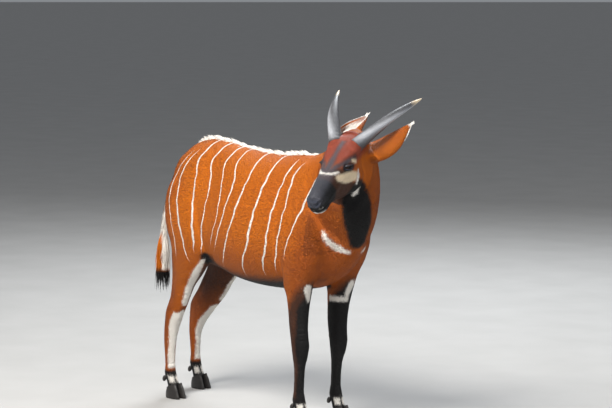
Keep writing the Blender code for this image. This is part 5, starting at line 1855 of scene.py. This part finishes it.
def make_tail_tuft():
    """Long locks round the tail's end, black below and pale on one side above."""
    draw = np.random.default_rng(6)
    count = int(TUFT_COUNT * FEWER)
    share = (np.arange(count) + 0.5) / count
    turn = np.arange(count) * math.pi * (3 - math.sqrt(5))
    outwards = columns(np.cos(turn), np.sin(turn), 0.0)
    roots = tail_line(0.602 + 0.115 * (1 - share)) + outwards * 0.0105
    lifts = unit(outwards * 0.42 + DOWN * 0.9)
    alongs = unit(DOWN - outwards * 0.04 + draw.normal(0, 0.05, (count, 3)))
    lengths = TUFT_LENGTH * draw.uniform(0.65, 1.0, count)
    widths = 0.0019 * draw.uniform(0.7, 1.3, count)
    made = locks(roots, lifts, alongs, outwards, lengths, widths, 0.0009, rings=TUFT_RINGS)
    flat = 0.05 + 0.9 * columns((turn % (2 * math.pi)) / (2 * math.pi), share)
    pale = np.where(np.cos(turn - math.radians(30)) > 0.15, 9.0, -9.0)
    pale = np.repeat(pale, TUFT_RINGS * len(LOCK_SIDES))
    colours = {"black": lambda at: (TUFT_BLACK_BELOW - at[:, 2]) / EDGE * 0.5,
               "white": lambda at: np.minimum(pale, (at[:, 2] - TUFT_BLACK_BELOW) / EDGE * 0.5)}
    return lock_object("tail_tuft", made, flat, colours, draw.normal(0, 0.4, count))


def make_tail_fringe():
    """White hair down the inner side of the tail."""
    draw = np.random.default_rng(7)
    count = int(FRINGE_COUNT * FEWER)
    share = (np.arange(count) + draw.random(count)) / count
    z = FRINGE_TOP - FRINGE_DROP * share
    turn = math.radians(-20) + draw.normal(0, 0.50, count)
    outwards = columns(np.cos(turn), np.sin(turn), 0.0)
    roots = tail_line(z) + outwards * np.interp(z, (0.6, 0.9), (0.010, 0.016))[:, None]
    lifts, alongs = unit(outwards * 0.45 + DOWN), unit(DOWN + outwards * 0.10)
    lengths = (0.026 + 0.040 * share) * draw.uniform(0.7, 1.1, count)
    made = locks(roots, lifts, alongs, outwards, lengths, 0.0015 * draw.uniform(0.7, 1.3, count), 0.0006)
    flat = columns(0.5 + 0.3 * np.sin(turn), 0.05 + 0.9 * share)
    return lock_object("tail_fringe", made, flat, {"white": 9.0}, draw.normal(0, 0.5, count))


# %% The hair of the ears
EAR_HAIRS, EAR_TIP_HAIRS = 300, 60
# Length and half width of the inner hair, the rim's and the tip's
EAR_HAIR_SIZES = np.array(((0.022, 0.0009), (0.0060, 0.0011), (0.020, 0.0010)))


def make_ear_hair(word):
    """Inner hair in loose rows, a short rim, and the pale tuft at the tip."""
    draw = np.random.default_rng(8 if word == "left" else 9)
    root, along, back, across = ear_axes(word)
    count = int(EAR_HAIRS * FEWER)
    kind = np.repeat((0, 1, 2), (count, count, EAR_TIP_HAIRS))
    rim_from = 0.12 if word == "right" else 0.70
    t = np.concatenate([draw.uniform(0.28, 0.62, count), draw.uniform(rim_from, 0.99, count),
                        np.full(EAR_TIP_HAIRS, 0.955)])
    turn = np.concatenate([draw.normal(0, 0.26, count), draw.choice([-0.985, 0.985], count),
                           draw.uniform(-1, 1, EAR_TIP_HAIRS)])
    turn = np.clip(turn, -0.99, 0.99)
    places, outwards = ear_place(word, t, turn, EAR_WALL * 0.9)
    inner, tip = (kind == 0)[:, None], (kind == 2)[:, None]
    edge_way = unit(across * np.sign(turn)[:, None] - back * 0.3)
    lifts = np.where(inner, -outwards * 0.55 + along, along * 0.8 + edge_way * 0.35)
    lifts = unit(np.where(tip, along + outwards * 0.1, lifts))
    alongs = unit(np.where(inner, along - back * 0.25, along + edge_way * 0.10))
    alongs = unit(alongs + draw.normal(0, 0.10, (len(t), 3)))
    lengths = EAR_HAIR_SIZES[kind, 0] * draw.uniform(0.6, 1.2, len(t))
    widths = EAR_HAIR_SIZES[kind, 1] * draw.uniform(0.7, 1.3, len(t))
    turned = [v @ HEAD_TURN.T for v in (lifts, alongs, outwards)]
    made = locks(from_head(places), *turned, lengths, widths, 0.0004, rings=4)
    flat = columns(0.5 + 0.45 * turn, 0.03 + 0.94 * t)
    return lock_object("ear_hair_" + word, made, flat, {"white": 9.0}, draw.normal(0, 0.6, len(t)))


# %% The lashes
LASH_COUNT, LASH_LENGTH, LASH_WIDTH = 26, 0.0080, 0.00035


def make_lashes(side):
    draw = np.random.default_rng(12 + side)
    out, forward, up = eye_axes(side)
    share = np.linspace(-0.82, 0.80, LASH_COUNT)
    f = share * LID_OPENING[0] * 1.05
    reach = np.where(f > 0, 1.22, 1.0)
    open_here = np.sqrt(np.clip(1 - (np.abs(f / LID_OPENING[0]) / reach) ** 2.2, 0.02, 1))
    rise = LID_OPENING[1] * 1.10 * open_here
    ball = EYE_RADIUS + LID_THICKNESS * 0.8
    depth = np.sqrt(np.maximum(ball ** 2 - f ** 2 - rise ** 2, 0))
    roots = EYE_AT * (1, side, 1) + f[:, None] * forward + rise[:, None] * up + depth[:, None] * out
    fan = (share * 0.5)[:, None] * forward
    lifts = unit(out + 0.25 * up + fan)
    alongs = unit(0.45 * out + 0.10 * up - 0.35 * forward + fan - np.array((0, 0, 0.25)))
    lengths = LASH_LENGTH * draw.uniform(0.75, 1.1, LASH_COUNT)
    turned = [v @ HEAD_TURN.T for v in (lifts, alongs, np.tile(up, (LASH_COUNT, 1)))]
    widths = np.full(LASH_COUNT, LASH_WIDTH)
    made = locks(from_head(roots), *turned, lengths, widths, 0.00025, rings=4)
    return lock_object("lashes_" + SIDES[side], made, columns(0.5 + 0.4 * share, 0.5), {"black": 9.0},
                       np.zeros(LASH_COUNT))


hair_pieces = [make_crest(), make_tail_tuft(), make_tail_fringe()]
hair_pieces += [make_ear_hair(word) for word in EARS] + [make_lashes(side) for side in SIDES]
print("hair", {piece.name: triangle_count(piece) for piece in hair_pieces})

# %% [markdown]
# ## Into the frame
# Each finished piece moves by SHIFT, rides on the one body and stands for the imported nodes that it
# replaces. The still model has no joints.

# %% Place the pieces and count the triangles
FLESH = ("torso", "head", "neck", "tail", "leg_fore_left", "leg_fore_right", "leg_hind_left",
         "leg_hind_right", "ear_left", "ear_right")


def settle(piece, slot, *nodes):
    write(piece, read(piece) + SHIFT)
    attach(piece, "root")
    if nodes:
        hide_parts(*nodes)


settle(skin, "coat", *FLESH)
for piece in coat_pieces + hair_pieces:
    settle(piece, "coat")
for side, word in SIDES.items():
    settle(eyes[side], "eye", "eye_" + word)
    settle(horns[side], "horn", "horn_" + word)
for node, piece in hooves.items():
    settle(piece, "hoof", node)
seen = [o for o in bpy.data.objects if o.type == "MESH" and not o.hide_render]
print("triangles in all", sum(triangle_count(o) for o in seen))

# %% [markdown]
# ## Floor and light
# A plain pale floor and a wide soft key from the upper left front, with a cool fill and a rim light
# behind, show the coat as on an overcast day.

# %% Floor, lights and world
FLOOR_SIZE, FLOOR_DROP = 400.0, 0.0004
LIGHT_AIM = Vector((0, 0, 0.75))
# Azimuth, distance, height, power, size and colour of each light
LIGHTS = {
    "key": (14, 4.0, 5.5, 640, 2.4, (1.0, 0.97, 0.92)),
    "fill": (80, 5.5, 2.5, 110, 4.0, (0.94, 0.97, 1.0)),
    "back": (215, 4.5, 4.8, 330, 2.6, (0.92, 0.96, 1.0)),
}
ROOM_COLOUR, ROOM_STRENGTH = (0.80, 0.84, 0.90, 1), 0.30


def make_floor():
    half = FLOOR_SIZE / 2
    corners = [(x, y, -FLOOR_DROP) for x, y in ((-half, -half), (half, -half), (half, half), (-half, half))]
    floor = new_object("floor", corners, [(0, 1, 2), (0, 2, 3)])
    n = Nodes("pale floor")
    shade = n.ramp(n.noise(3.0, 3), (0.3, (0.400, 0.395, 0.385)), (0.7, (0.430, 0.425, 0.415)))
    floor.data.materials.append(n.finish(Base_Color=shade, Roughness=0.85))


def area_light(name, azimuth, distance, height, power, size, colour):
    turn = math.radians(azimuth)
    data = bpy.data.lights.new(name, "AREA")
    data.energy, data.size, data.color = power, size, colour
    light = bpy.data.objects.new(name, data)
    light.location = Vector((math.sin(turn) * distance, -math.cos(turn) * distance, height))
    light.rotation_euler = (LIGHT_AIM - light.location).to_track_quat("-Z", "Y").to_euler()
    bpy.context.scene.collection.objects.link(light)


def light_scene():
    for name, spec in LIGHTS.items():
        area_light(name, *spec)
    world = bpy.data.worlds.new("soft room")
    world.use_nodes = True
    background = world.node_tree.nodes["Background"]
    background.inputs["Color"].default_value = ROOM_COLOUR
    background.inputs["Strength"].default_value = ROOM_STRENGTH
    bpy.context.scene.world = world
    # Plain colour, as a camera's own picture shows it
    bpy.context.scene.view_settings.view_transform = "Standard"


make_floor()
light_scene()
